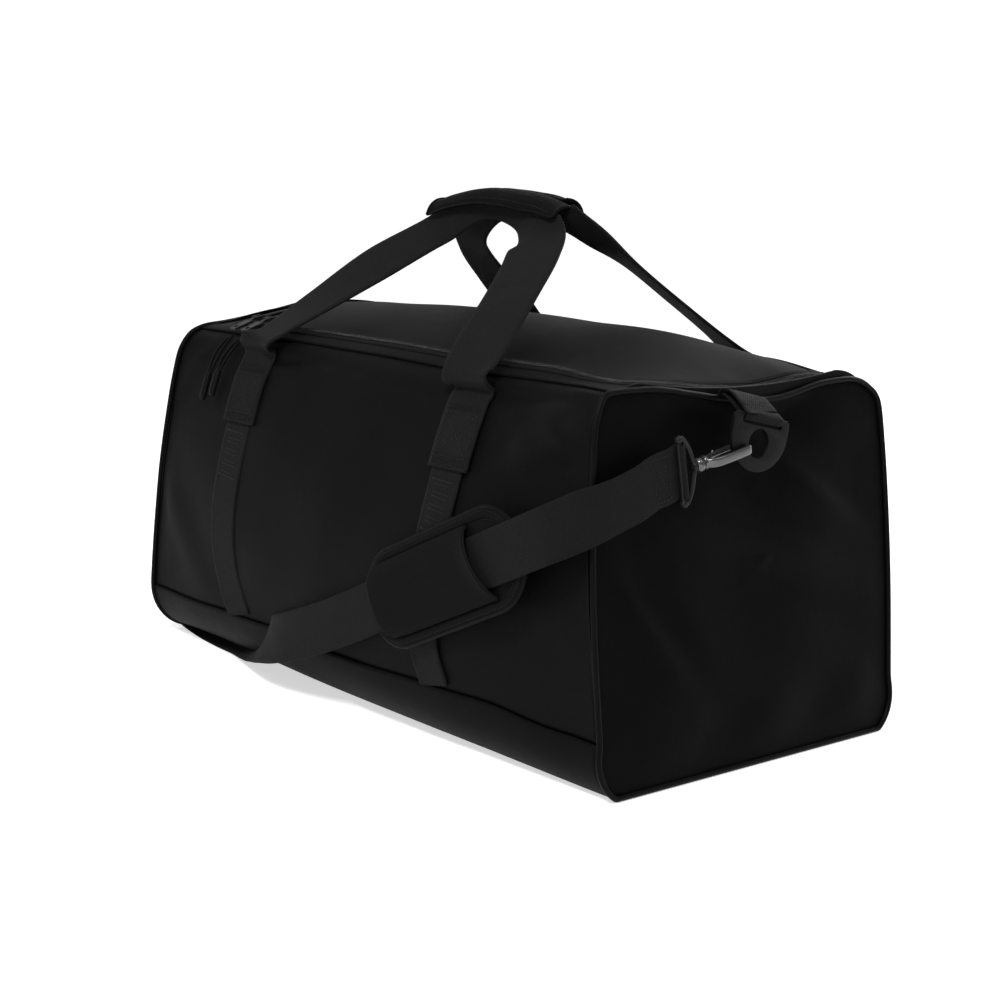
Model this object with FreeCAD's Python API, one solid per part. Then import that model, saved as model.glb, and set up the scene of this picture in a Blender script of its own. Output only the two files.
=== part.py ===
import FreeCAD, Part
import math
import os

# Soft duffel bag, in millimetres. X runs along the bag, the front face looks towards -Y, Z is up.
# The origin lies on the floor under the middle of the bag. Every fabric panel is cut from one family
# of nested skins, so neighbouring panels meet face to face.

V = FreeCAD.Vector

# ---- driving dimensions -------------------------------------------------------------------------
FLOOR_LENGTH = 561.4        # between the two end panels, at the floor
RIGHT_LEAN = 0.1128         # inward lean of each end panel, mm per mm of height
LEFT_LEAN = 0.1323
WALL = 2.5                  # padded fabric wall
PIPE_HALF = 2.5             # piping stands this far each side of the corner edge
SEAM_Z = 46.0               # seam between the bottom panel and the side panels

SHOULDER_Y = 104.0          # axis of the round shoulder along each long top edge
SHOULDER_Z = 230.0
SHOULDER_R = 48.0

LID_X = (-222.0, 232.0)     # zipper line at the two ends of the lid
LID_Y = -113.0              # zipper line along the front
LID_CORNER = 26.0           # radius of the zipper line's corners
LID_REAR = 107.5            # hinge seam of the lid
HINGE_CORD_R = 1.9

TAPE_IN = 0.6               # zipper half tape, from and to, measured from the zipper line
TAPE_OUT = 9.0
TAPE_T = 1.0
COIL_IN = 0.25
COIL_OUT = 2.2
COIL_T = 1.6
PANEL_GAP = 5.5             # fabric stops this far from the zipper line

WEB_T = 1.6                 # webbing thickness
BASE_WEB_W = 32.0           # narrow webbing sewn on the bag
HANDLE_W = 48.0             # wide webbing of the carry handles
HANDLE_T = 3.0
LEG_X = (-136.0, 124.0)     # where the handle legs stand
ANCHOR_Z = (203.0, 255.0)   # sewn lower end of the handle webbing
SWING_Y = 151.5             # line on which a handle swings
SWING_Z = 258.5

STRAP_W = 38.0              # shoulder strap
STRAP_T = 1.4
PAD_LENGTH = 176.0
PAD_WIDTH = 72.0

PLATE_T = 3.0               # D-shaped ring plate
HOLE_R = 10.6
HOLE_DROP = 18.0            # from the plate's top bar to the hook hole
HOOK_IN = 6.5               # half the clear width inside the snap hook
HOOK_BAR = 4.0
HOOK_W = 5.5
NOSE_BACK = 12.0            # from the hole's centre to the centre of the hook's nose
BAR_AT = 61.0               # from the nose's centre to the bar that the strap is folded over

SLIDER_X = (-168.0, -184.0)
RING_TILT = {1: 12.0, -1: 20.0}           # lean of each ring plate, degrees
RING_BAR = {1: (274, -9, 250), -1: (-274, 0, 251)}
STOP_IN = 0.3                 # each end stop grips only the fixed coil
STOP_OUT = 2.4


# ---- helpers ------------------------------------------------------------------------------------
def box(x0, x1, y0, y1, z0, z1):
    return Part.makeBox(x1 - x0, y1 - y0, z1 - z0, V(x0, y0, z0))


def prism(points, direction):
    """Solid from a closed list of points, pushed along a direction."""
    return Part.Face(Part.makePolygon(points + [points[0]])).extrude(direction)


def place(shape, origin, ex, ey, ez):
    """Move a shape from its own axes to the axes ex, ey, ez at origin."""
    m = FreeCAD.Matrix(ex.x, ey.x, ez.x, origin.x, ex.y, ey.y, ez.y, origin.y,
                       ex.z, ey.z, ez.z, origin.z, 0, 0, 0, 1)
    return shape.transformGeometry(m)


def rod(a, b, radius):
    return Part.makeCylinder(radius, (b - a).Length, a, b - a)


def fuse(shapes):
    whole = shapes[0].fuse(shapes[1:]) if len(shapes) > 1 else shapes[0]
    return whole.removeSplitter()


def ribbon(stations, thickness):
    """Flat band through stations of (centre, width direction, half width)."""
    wires = []
    for i, (centre, across, half) in enumerate(stations):
        before = stations[max(i - 1, 0)][0]
        after = stations[min(i + 1, len(stations) - 1)][0]
        along = (after - before).normalize()
        wide = (across - along * across.dot(along)).normalize() * half
        thick = along.cross(wide).normalize() * (thickness / 2)
        corners = [centre + wide + thick, centre + wide - thick,
                   centre - wide - thick, centre - wide + thick]
        wires.append(Part.makePolygon(corners + [corners[0]]))
    return Part.makeLoft(wires, True, True)


# ---- the bag's skins ----------------------------------------------------------------------------
# One row for each cross-section: x, half width on the floor, floor height, (y, z) on the lower corner,
# (y, z) where the side starts, belly half width, crest height.
SECTIONS = [
    (-300, 96, 5.0, (135, 16), (154, 46), 159, 290),
    (-262, 96, 4.5, (135, 16), (154, 46), 161, 291),
    (-150, 104, 0.4, (143, 14), (163, 46), 172, 296),
    (-60, 108, -1.0, (148, 13), (167, 46), 176, 299),
    (60, 114, -1.0, (150, 12), (167, 46), 176, 300),
    (150, 122, -1.0, (150, 11), (164, 46), 172, 297),
    (250, 132, -1.0, (148, 9), (155, 40), 162, 270),
    (300, 133, -1.0, (148, 9), (154, 40), 160, 264),
]


def shoulder(angle, side, offset):
    a = math.radians(angle)
    r = SHOULDER_R + offset
    return (side * (SHOULDER_Y + r * math.cos(a)), SHOULDER_Z + r * math.sin(a))


def arc_edge(a, b, c):
    """Edge on the circle through three points."""
    return Part.Arc(a, b, c).toShape()


def section_wire(row, offset):
    x, flat, floor, low, side_low, belly, crest = row
    d = offset
    k = math.sqrt(0.5)
    half = {}
    for s in (-1, 1):
        half[s] = {
            "flat": V(x, s * flat, floor - d),
            "low": V(x, s * (low[0] + k * d), low[1] - k * d),
            "side_low": V(x, s * (side_low[0] + d), side_low[1]),
            "belly": V(x, s * (belly + d), 140),
            "start": V(x, *shoulder(20, s, d)),
            "mid": V(x, *shoulder(55, s, d)),
            "end": V(x, *shoulder(90, s, d)),
        }
    f, r = half[-1], half[1]
    top = V(x, 0, crest + d)
    edges = [
        Part.makeLine(f["flat"], r["flat"]),
        arc_edge(r["flat"], r["low"], r["side_low"]),
        arc_edge(r["side_low"], r["belly"], r["start"]),
        arc_edge(r["start"], r["mid"], r["end"]),
        arc_edge(r["end"], top, f["end"]),
        arc_edge(f["end"], f["mid"], f["start"]),
        arc_edge(f["start"], f["belly"], f["side_low"]),
        arc_edge(f["side_low"], f["low"], f["flat"]),
    ]
    return Part.Wire(edges)


ABOVE_FLOOR = box(-400, 400, -400, 400, 0, 500)


def skin(offset):
    """Solid whose surface lies this far outside the fabric's outer face."""
    body = Part.makeLoft([section_wire(row, offset) for row in SECTIONS], True, False)
    return body.common(ABOVE_FLOOR)


def end_x(side, z, inset):
    """Place of an end panel's outer face at a height, moved inwards by inset."""
    lean = RIGHT_LEAN if side > 0 else LEFT_LEAN
    return side * (FLOOR_LENGTH / 2 - lean * z - inset)


def end_slab(side, outer, inner):
    """Leaning slab between two insets from an end panel's outer face."""
    low, high = -20, 420
    points = [V(end_x(side, low, outer), -300, low), V(end_x(side, high, outer), -300, high),
              V(end_x(side, high, inner), -300, high), V(end_x(side, low, inner), -300, low)]
    return prism(points, V(0, 600, 0))


def between_ends(inset):
    low, high = -20, 420
    points = [V(end_x(-1, low, inset), -300, low), V(end_x(-1, high, inset), -300, high),
              V(end_x(1, high, inset), -300, high), V(end_x(1, low, inset), -300, low)]
    return prism(points, V(0, 600, 0))


def u_region(grow, rear):
    """Upright block inside the zipper line, grown outwards by this much."""
    x0, x1 = LID_X[0] - grow, LID_X[1] + grow
    y0 = LID_Y - grow
    r = max(LID_CORNER + grow, 1.0)
    k = r * (1 - math.sqrt(0.5))
    z = 255
    edges = [
        Part.makeLine(V(x0, rear, z), V(x0, y0 + r, z)),
        Part.Arc(V(x0, y0 + r, z), V(x0 + k, y0 + k, z), V(x0 + r, y0, z)).toShape(),
        Part.makeLine(V(x0 + r, y0, z), V(x1 - r, y0, z)),
        Part.Arc(V(x1 - r, y0, z), V(x1 - k, y0 + k, z), V(x1, y0 + r, z)).toShape(),
        Part.makeLine(V(x1, y0 + r, z), V(x1, rear, z)),
        Part.makeLine(V(x1, rear, z), V(x0, rear, z)),
    ]
    return Part.Face(Part.Wire(edges)).extrude(V(0, 0, 80))


SKIN_OUT = skin(0)
SKIN_IN = skin(-WALL)
SKIN_TAPE = skin(TAPE_T)
SKIN_COIL = skin(TAPE_T + COIL_T)
SKIN_WEB = skin(WEB_T)
SKIN_HANDLE = skin(2 * WEB_T)
SKIN_PIPE = skin(PIPE_HALF)
WALLS = SKIN_OUT.cut(SKIN_IN).common(between_ends(PIPE_HALF))
HINGE_START = V(-400, LID_REAR, SHOULDER_Z + SHOULDER_R - 1.4)
HINGE_LINE = Part.makeCylinder(HINGE_CORD_R + 0.5, 800, HINGE_START, V(1, 0, 0))

parts = {}


def panels():
    """Bottom, front, back and the two short strips beside the lid."""
    parts["bottom_panel"] = WALLS.common(box(-400, 400, -400, 400, -10, SEAM_Z))
    upper = WALLS.common(box(-400, 400, -400, 400, SEAM_Z, 500))
    hole = u_region(PANEL_GAP, LID_REAR)
    front = upper.common(box(-400, 400, -400, LID_Y + 20, 0, 500))
    parts["front_panel"] = front.cut(hole).common(box(-400, 400, -400, LID_Y - PANEL_GAP, 0, 500))
    parts["back_panel"] = upper.common(box(-400, 400, LID_REAR, 400, 0, 500)).cut(HINGE_LINE)
    middle = upper.common(box(-400, 400, LID_Y - PANEL_GAP, LID_REAR, 240, 500)).cut(hole)
    parts["top_strip_left"] = middle.common(box(-400, 0, -400, 400, 0, 500))
    parts["top_strip_right"] = middle.common(box(0, 400, -400, 400, 0, 500))
    for name, side in (("right", 1), ("left", -1)):
        parts["end_panel_" + name] = skin(-PIPE_HALF).common(end_slab(side, 0, PIPE_HALF))
        band = SKIN_PIPE.cut(skin(-PIPE_HALF))
        parts["piping_" + name] = band.common(end_slab(side, -PIPE_HALF, PIPE_HALF))
        inner = SKIN_IN.cut(skin(-WALL - 9))
        binding = inner.common(end_slab(side, PIPE_HALF, PIPE_HALF + 1.6))
        parts["seam_binding_" + name] = binding


def lid():
    inside = u_region(-PANEL_GAP, LID_REAR)
    parts["lid_panel"] = SKIN_OUT.cut(SKIN_IN).common(inside).cut(HINGE_LINE)
    z = SHOULDER_Z + SHOULDER_R - 1.4
    length = LID_X[1] - LID_X[0] - 2 * PANEL_GAP
    start = V(LID_X[0] + PANEL_GAP, LID_REAR, z)
    parts["lid_hinge_cord"] = Part.makeCylinder(HINGE_CORD_R, length, start, V(1, 0, 0))


def zipper():
    """Half tapes and coils on both sides of the zipper line."""
    rear = LID_REAR - 4
    tape = SKIN_TAPE.cut(SKIN_OUT)
    coil = SKIN_COIL.cut(SKIN_TAPE)
    outer_tape = tape.common(u_region(TAPE_OUT, rear).cut(u_region(TAPE_IN, rear)))
    outer_coil = coil.common(u_region(COIL_OUT, rear).cut(u_region(COIL_IN, rear)))
    lid_tape = tape.common(u_region(-TAPE_IN, rear).cut(u_region(-TAPE_OUT, rear)))
    lid_coil = coil.common(u_region(-COIL_IN, rear).cut(u_region(-COIL_OUT, rear)))
    # the lid's tape stops short where a slider can stand, so that the lid lifts past it
    for low, high in ((-215, -159), (203, 229)):
        gap = box(low, high, LID_Y - 20, LID_Y + 7, 250, 320)
        lid_tape = lid_tape.cut(gap)
        lid_coil = lid_coil.cut(gap)
    parts["zip_tape_outer"] = outer_tape
    parts["zip_coil_outer"] = outer_coil
    parts["zip_tape_lid"] = lid_tape
    parts["zip_coil_lid"] = lid_coil
    for name, x in (("left", LID_X[0]), ("right", LID_X[1])):
        near, far = sorted((math.copysign(STOP_IN, x), math.copysign(STOP_OUT, x)))
        block = box(x + near, x + far, rear + 0.2, rear + 3.0, 250, 320)
        parts["zip_stop_" + name] = SKIN_COIL.cut(SKIN_TAPE).common(block)


def webbing():
    """Narrow base webbing and the sewn lower ends of the wide handle webbing."""
    base = SKIN_WEB.cut(SKIN_OUT)
    wide = SKIN_HANDLE.cut(SKIN_WEB)
    for face, y0, y1 in (("front", -400, 0), ("rear", 0, 400)):
        for name, x in zip(("left", "right"), LEG_X):
            half = BASE_WEB_W / 2
            narrow = box(x - half, x + half, y0, y1, SEAM_Z, 248)
            parts["webbing_%s_%s" % (face, name)] = base.common(narrow)
            half = HANDLE_W / 2
            low, high = ANCHOR_Z
            patch = box(x - half, x + half, y0, y1, low, high)
            parts["handle_anchor_%s_%s" % (face, name)] = wide.common(patch)


# ---- carry handles ------------------------------------------------------------------------------
GRIP_X = (-104.0, 69.0)
GRIP_SPLIT = 0.15       # half the gap between the two halves of the grip
GRIP_BEVEL = 5.0        # chamfer along the grip's shoulders
GRIP_LOW_Z = 374.0      # height of the grip's lower edges at its middle
GRIP_ARCH = ((-104, -12), (-60, -3), (-17, 0), (30, -1), (69, -7))


def handle(side):
    """Wide webbing from one anchor to the other, turned on edge where the hand holds it."""
    mid = (LEG_X[0] + LEG_X[1]) / 2 - 11
    half = HANDLE_W / 2
    left = [
        (V(LEG_X[0], SWING_Y, SWING_Z), V(1, 0, 0), half),
        (V(LEG_X[0] + 2, SWING_Y - 0.5, 272), V(1, 0, 0), half),
        (V(-112, 95, 324), V(0.92, 0.3, -0.25), half),
        (V(-82, 38, 362), V(0.66, 0.5, -0.56), 22),
        (V(-50, 14, 371), V(0.15, 0.1, -0.98), 18.5),
        (V(mid, 12, 372), V(0, 0, -1), 18.5),
    ]
    right = [
        (V(22, 14, 371), V(-0.15, 0.1, -0.98), 18.5),
        (V(54, 38, 362), V(-0.66, 0.5, -0.56), 22),
        (V(94, 95, 324), V(-0.92, 0.3, -0.25), half),
        (V(LEG_X[1] - 2, SWING_Y - 0.5, 272), V(-1, 0, 0), half),
        (V(LEG_X[1], SWING_Y, SWING_Z), V(-1, 0, 0), half),
    ]
    stations = [(V(c.x, side * c.y, c.z), V(w.x, side * w.y, w.z), h) for c, w, h in left + right]
    return ribbon(stations, HANDLE_T)


def grip_layer(side, outer, inner):
    """One layer of the wrap: a top and a front wing, arched along its length."""
    y_out, y_in = outer
    z_out, z_in = inner
    wires = []
    for x, drop in GRIP_ARCH:
        profile = [(GRIP_SPLIT, z_out), (y_out - GRIP_BEVEL, z_out), (y_out, z_out - GRIP_BEVEL),
                   (y_out, GRIP_LOW_Z), (y_in, GRIP_LOW_Z), (y_in, z_in - GRIP_BEVEL),
                   (y_in - GRIP_BEVEL, z_in), (GRIP_SPLIT, z_in)]
        corners = [V(x, side * y, z + drop) for y, z in profile]
        wires.append(Part.makePolygon(corners + [corners[0]]))
    return Part.makeLoft(wires, True, True)


def handles():
    for name, side in (("front", -1), ("rear", 1)):
        strap = handle(side)
        parts["handle_" + name] = strap
        parts["grip_cover_" + name] = grip_layer(side, (22, 20.5), (397, 395.5)).cut(strap)
        foam = grip_layer(side, (20.5, 15.5), (395.5, 392))
        parts["grip_foam_" + name] = foam.cut(strap)


# ---- ring, snap hook and strap bar at each end --------------------------------------------------
def frames(side):
    """Axes of the ring plate and of the snap hook at one end of the bag."""
    out = V(side, 0, 0)
    tilt = math.radians(RING_TILT[side])
    if side > 0:
        pull = V(0, -math.cos(tilt), -math.sin(tilt))
    else:
        pull = V(0, -math.sin(tilt), -math.cos(tilt))
    bar_centre = V(*RING_BAR[side])
    up = V(0, math.sin(tilt), math.cos(tilt))
    across = up.cross(out)
    hole = bar_centre - up * HOLE_DROP
    nose = hole + pull * NOSE_BACK - out * 4
    inward = out * -1
    return out, across, up, bar_centre, pull, inward, nose


def ring_plate():
    """D-shaped plate in its own axes: x is its normal, z up, origin on its top bar."""
    t = PLATE_T / 2
    corners = [(27, 1.5), (30, -1.5), (30, -14), (-30, -14), (-30, -1.5), (-27, 1.5)]
    p = [V(-t, y, z) for y, z in corners]
    edges = [Part.makeLine(p[5], p[0]), Part.makeLine(p[0], p[1]), Part.makeLine(p[1], p[2]),
             Part.Arc(p[2], V(-t, 0, -38), p[3]).toShape(),
             Part.makeLine(p[3], p[4]), Part.makeLine(p[4], p[5])]
    plate = Part.Face(Part.Wire(edges)).extrude(V(PLATE_T, 0, 0))
    slot = box(-5, 5, -21, 21, -5.5, -1.5)
    hole = Part.makeCylinder(HOLE_R, 10, V(-5, 0, -HOLE_DROP), V(1, 0, 0))
    return plate.cut(slot).cut(hole)


def ring_tab(side):
    """Folded webbing round the plate's top bar, its two leaves sewn into the end seam."""
    if side > 0:
        back, rise = -23.0, 14.5
    else:
        back, rise = -26.0, 13.0
    half = 19.5
    d = V(back, 0, rise).normalize()
    n = V(-d.z, 0, d.x)
    top = V(back, 0, rise)
    leaf = prism([V(0, -half, 0) + n * 3.9, V(0, -half, 0) - n * 3.9, V(top.x, -half, top.z) - n * 1.4,
                  V(top.x, -half, top.z) + n * 1.4], V(0, 2 * half, 0))
    edge = V(0, -half, 0)
    cavity = prism([edge + n * 2.5, edge - n * 2.5, edge + d * 15], V(0, 2 * half, 0))
    outer = Part.makeCylinder(3.9, 2 * half, V(0, -half, 0), V(0, 1, 0))
    inner = Part.makeCylinder(2.5, 2 * half, V(0, -half, 0), V(0, 1, 0))
    return outer.fuse(leaf).cut(inner).cut(cavity).removeSplitter()


def hook_body():
    """Snap hook in its own axes: x runs from the nose to the strap, y towards the gate."""
    r_in, r_out, w = HOOK_IN, HOOK_IN + HOOK_BAR, HOOK_W / 2
    disc = Part.makeCylinder(r_out, 2 * w, V(0, 0, -w)).cut(Part.makeCylinder(r_in, 2 * w, V(0, 0, -w)))
    a = math.radians(125)
    far = V(40 * math.cos(a), 40 * math.sin(a), -9)
    wedge = prism([V(0, 0, -9), far, V(-60, 0, -9), V(-60, -60, -9), V(0, -60, -9)], V(0, 0, 18))
    nose = disc.common(wedge)
    spine = box(0, 37, -r_out, -r_in, -w, w)
    base = box(36, 40, -r_out, 6, -w, w)
    barrel = Part.makeCylinder(5.2, 10, V(37, 0, 0), V(1, 0, 0))
    body = fuse([nose, spine, base, barrel])
    cheeks = fuse([box(27, 40, 4.5, 11, 2.9, 4.3), box(27, 40, 4.5, 11, -4.3, -2.9),
                   box(36, 40, 4.5, 11, -4.3, 4.3)])
    pin = Part.makeCylinder(1.2, 8.6, V(31, 8.2, -4.3))
    bore = Part.makeCylinder(2.55, 30, V(30, 0, 0), V(1, 0, 0))
    return fuse([body, cheeks, pin]).cut(bore)


def hook_gate():
    w = 2.5
    bar = box(-3.0, 33.5, HOOK_IN, HOOK_IN + 3.2, -w, w)
    thumb = box(6, 12, HOOK_IN + 3.2, HOOK_IN + 5.4, -w, w)
    hole = Part.makeCylinder(1.26, 20, V(31, 8.2, -10))
    return fuse([bar, thumb]).cut(hole)


def strap_bar():
    """Swivel post with its head, two arms and the bar that the strap is folded over."""
    post = Part.makeCylinder(2.5, 16, V(34, 0, 0), V(1, 0, 0))
    head = Part.makeCylinder(3.9, 2, V(32.6, 0, 0), V(1, 0, 0))
    yoke = rod(V(50, 0, -23), V(50, 0, 23), 2.2)
    sides = [rod(V(50, 0, s * 23), V(BAR_AT, 0, s * 23), 2.2) for s in (-1, 1)]
    bar = rod(V(BAR_AT, 0, -23), V(BAR_AT, 0, 23), 2.4)
    knobs = [Part.makeSphere(3.2, V(BAR_AT, 0, s * 23)) for s in (-1, 1)]
    return fuse([post, head, yoke, bar] + sides + knobs)


def ends():
    for name, side in (("right", 1), ("left", -1)):
        out, across, up, bar_centre, pull, inward, nose = frames(side)
        parts["dring_" + name] = place(ring_plate(), bar_centre, out, across, up)
        tab = place(ring_tab(side), bar_centre, out, across, up)
        for near in ("end_panel_", "piping_"):
            tab = tab.cut(parts[near + name])
        tab = tab.cut(SKIN_IN.common(between_ends(PIPE_HALF)))
        parts["dring_tab_" + name] = max(tab.Solids, key=lambda s: s.Volume)
        third = pull.cross(inward)
        parts["snap_hook_" + name] = place(hook_body(), nose, pull, inward, third)
        parts["hook_gate_" + name] = place(hook_gate(), nose, pull, inward, third)
        parts["strap_bar_" + name] = place(strap_bar(), nose, pull, inward, third)


# ---- shoulder strap -----------------------------------------------------------------------------
RUN_TOP = V(236, -184, 175.5)     # straight run across the front that carries the pad
RUN_LOW = V(20, -184, 74)
LEFT_FOOT = V(-302, -90, 22)      # where the strap leaves the floor at the left end


def strap_fold(nose, pull, third):
    bar = nose + pull * BAR_AT
    half = STRAP_W / 2
    outer = rod(bar - third * half, bar + third * half, 2.8 + STRAP_T)
    return outer.cut(rod(bar - third * 30, bar + third * 30, 2.8))


def shoulder_strap():
    half = STRAP_W / 2
    run = (RUN_LOW - RUN_TOP).normalize()
    rise = V(-run.z, 0, run.x) * -1
    o, a, u, b, pull_r, inward_r, nose_r = frames(1)
    o, a, u, b, pull_l, inward_l, nose_l = frames(-1)
    bar_r = nose_r + pull_r * BAR_AT
    bar_l = nose_l + pull_l * BAR_AT
    route = [
        (bar_r + pull_r * 3.4, V(0, -0.2079, 0.9781)),
        (bar_r + pull_r * 12, V(0, -0.2079, 0.9781)),
        (V(270.5, -125, 205.5), V(0, -0.2, 0.98)),
        (V(268.5, -150, 197.5), V(0, -0.1, 0.99)),
        (V(262, -166, 191.5), V(-0.2, -0.05, 0.98)),
        (V(252, -176, 184.5), V(-0.35, 0, 0.94)),
        (RUN_TOP, rise),
        (RUN_LOW, rise),
        (V(-65, -183.5, 37), V(-0.38, 0.05, 0.92)),
        (V(-125, -177, 20.5), V(-0.3, 0.25, 0.9)),
        (V(-172, -163, 9), V(-0.05, 0.86, 0.4)),
        (V(-214, -146, 1.9), V(0.35, 0.93, 0.03)),
        (V(-252, -121, 0.9), V(0.5, 0.86, 0)),
        (V(-290, -99, 0.9), V(0.45, 0.88, 0)),
        (V(-298.5, -94, 8), V(0.25, 0.97, 0)),
        (LEFT_FOOT, V(0, 0.94, -0.342)),
        (LEFT_FOOT + (bar_l - LEFT_FOOT) * 0.15, V(0, 0.94, -0.342)),
        (bar_l + (LEFT_FOOT - bar_l).normalize() * 3.4, V(0, 0.94, -0.342)),
    ]
    band = ribbon([(c, w, half) for c, w in route], STRAP_T)
    folds = [strap_fold(nose_r, pull_r, pull_r.cross(inward_r)),
             strap_fold(nose_l, pull_l, pull_l.cross(inward_l))]
    whole = band.fuse(folds)
    return max(whole.Solids, key=lambda s: s.Volume)


def stadium(length, width, y0, y1, inset=0.0):
    """Slab with round ends in the pad's own axes: x along the strap, z across it, y its thickness."""
    h = width / 2 - inset
    l = length / 2 - inset
    r = min(h, 30.0)
    pts = [V(-l + r, y0, -h), V(l - r, y0, -h), V(l, y0, -h + r), V(l, y0, h - r), V(l - r, y0, h),
           V(-l + r, y0, h), V(-l, y0, h - r), V(-l, y0, -h + r)]
    k = r * (1 - math.sqrt(0.5))
    mids = [V(l - k, y0, -h + k), V(l - k, y0, h - k), V(-l + k, y0, h - k), V(-l + k, y0, -h + k)]
    edges = [Part.makeLine(pts[0], pts[1]), Part.Arc(pts[1], mids[0], pts[2]).toShape(),
             Part.makeLine(pts[2], pts[3]),
             Part.Arc(pts[3], mids[1], pts[4]).toShape(), Part.makeLine(pts[4], pts[5]),
             Part.Arc(pts[5], mids[2], pts[6]).toShape(), Part.makeLine(pts[6], pts[7]),
             Part.Arc(pts[7], mids[3], pts[0]).toShape()]
    return Part.Face(Part.Wire(edges)).extrude(V(0, y1 - y0, 0))


def shoulder_pad():
    """Cover with its foam behind the strap, and the sleeve that holds the strap to it."""
    run = (RUN_TOP - RUN_LOW).normalize()
    centre = RUN_LOW + run * (RUN_TOP - RUN_LOW).Length * 0.56
    rise = run.cross(V(0, 1, 0))
    if rise.z < 0:
        rise = rise * -1
    depth = rise.cross(run)
    half = STRAP_T / 2 + 0.4
    cover = stadium(PAD_LENGTH, PAD_WIDTH, half, half + 6.0)
    foam = stadium(PAD_LENGTH, PAD_WIDTH, half + 1.0, half + 5.0, 3.0)
    sleeve = box(-58, 58, -half - 2.0, -half, -26, 26)
    rims = fuse([box(-58, 58, -half, half, 21, 26), box(-58, 58, -half, half, -26, -21), sleeve])
    shapes = {"pad_cover": cover.cut(foam), "pad_foam": foam, "pad_sleeve": rims}
    for node, shape in shapes.items():
        parts[node] = place(shape, centre, run, depth, rise)


def adjuster():
    """Three-bar slide on the strap's run beside the left end."""
    o, a, u, b, pull, inward, nose = frames(-1)
    top = nose + pull * BAR_AT
    run = (LEFT_FOOT - top).normalize()
    centre = top + run * (LEFT_FOOT - top).Length * 0.42
    across = V(0, 0.94, -0.342)
    across = (across - run * across.dot(run)).normalize()
    third = run.cross(across)
    half = STRAP_T / 2 + 0.4
    frame = box(-14, 14, -24, 24, -half - 2.2, half + 2.2)
    channel = box(-20, 20, -20, 20, -half, half)
    window = box(-9.5, -2.5, -20, 20, -9, 9).fuse(box(2.5, 9.5, -20, 20, -9, 9))
    parts["strap_adjuster"] = place(frame.cut(channel).cut(window), centre, run, across, third)


# ---- zipper sliders and pulls -------------------------------------------------------------------
def zip_axes():
    """Point on the zipper line and its axes: along the bag, down the front, out of the skin."""
    c = (LID_Y + SHOULDER_Y) / SHOULDER_R
    s = math.sqrt(1 - c * c)
    origin = V(0, LID_Y, SHOULDER_Z + SHOULDER_R * s)
    out = V(0, c, s)
    down = V(0, -s, c)
    return origin, V(1, 0, 0), down, out


def sliders():
    origin, along, down, out = zip_axes()
    for name, x, tail in (("a", SLIDER_X[0], 236.0), ("b", SLIDER_X[1], 214.0)):
        at = V(x, origin.y, origin.z)
        deck = box(-5, 5, -4.8, 4.8, 3.3, 4.5)
        flanges = fuse([deck, box(-5, 5, 3.0, 4.8, 1.6, 3.4), box(-5, 5, -4.8, -3.0, 1.6, 3.4)])
        bridge = fuse([box(-3.5, -2.2, -4.0, 4.0, 4.5, 7.6), box(2.2, 3.5, -4.0, 4.0, 4.5, 7.6)])
        pin = rod(V(-3.5, 2.2, 6.2), V(3.5, 2.2, 6.2), 0.8)
        parts["slider_" + name] = place(fuse([flanges, bridge, pin]), at, along, down, out)
        eye = rod(V(-1.8, 2.2, 6.2), V(1.8, 2.2, 6.2), 1.6)
        tab = fuse([eye, box(-1.8, 1.8, 2.2, 9, 5.4, 7.0), box(-4, 4, 8.5, 27, 5.2, 6.8)])
        tab = tab.cut(rod(V(-9, 2.2, 6.2), V(9, 2.2, 6.2), 0.85)).cut(box(-2, 2, 21, 24.5, 0, 9))
        tilt = math.radians(-9)
        tab.rotate(V(0, 2.2, 6.2), V(1, 0, 0), math.degrees(tilt))
        parts["pull_tab_" + name] = place(tab.removeSplitter(), at, along, down, out)
        half = 4.2
        route = [(V(x, -140.5, 269.0), V(1, 0, 0), half), (V(x, -150.5, 263.5), V(1, 0, 0), half),
                 (V(x, -159, 252.5), V(1, 0, 0), half), (V(x, -164.5, 238.0), V(1, 0, 0), half),
                 (V(x, -165.5 - (236 - tail) * 0.18, tail - 6), V(1, 0, 0), half)]
        parts["pull_cord_" + name] = ribbon(route, 3.0)


panels()
lid()
zipper()
webbing()
handles()
ends()
parts["shoulder_strap"] = shoulder_strap()
shoulder_pad()
adjuster()
sliders()

os.makedirs("parts", exist_ok=True)
for node, shape in parts.items():
    shape.exportStep("parts/" + node + ".step")
    volume = round(shape.Volume / 1000, 2)
    print(node, len(shape.Solids), "solids", volume, "cm3", "valid", shape.isValid())
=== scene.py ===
import math

import bpy
import numpy as np
from mathutils import Matrix, Vector


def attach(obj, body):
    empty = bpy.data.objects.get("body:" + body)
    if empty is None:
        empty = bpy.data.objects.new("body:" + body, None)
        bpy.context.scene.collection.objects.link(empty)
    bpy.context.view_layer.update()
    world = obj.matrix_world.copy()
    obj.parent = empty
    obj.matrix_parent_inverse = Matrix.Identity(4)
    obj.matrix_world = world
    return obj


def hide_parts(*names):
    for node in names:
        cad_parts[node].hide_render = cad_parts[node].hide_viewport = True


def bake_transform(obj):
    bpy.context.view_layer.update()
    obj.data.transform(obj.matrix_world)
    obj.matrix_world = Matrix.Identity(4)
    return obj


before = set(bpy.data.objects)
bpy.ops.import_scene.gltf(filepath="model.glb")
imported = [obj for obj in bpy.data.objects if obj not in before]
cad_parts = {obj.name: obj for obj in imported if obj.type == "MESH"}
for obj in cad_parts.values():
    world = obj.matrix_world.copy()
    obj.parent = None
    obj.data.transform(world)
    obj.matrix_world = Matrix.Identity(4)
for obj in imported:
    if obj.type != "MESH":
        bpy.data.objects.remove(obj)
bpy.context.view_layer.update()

MM = 0.001


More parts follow.
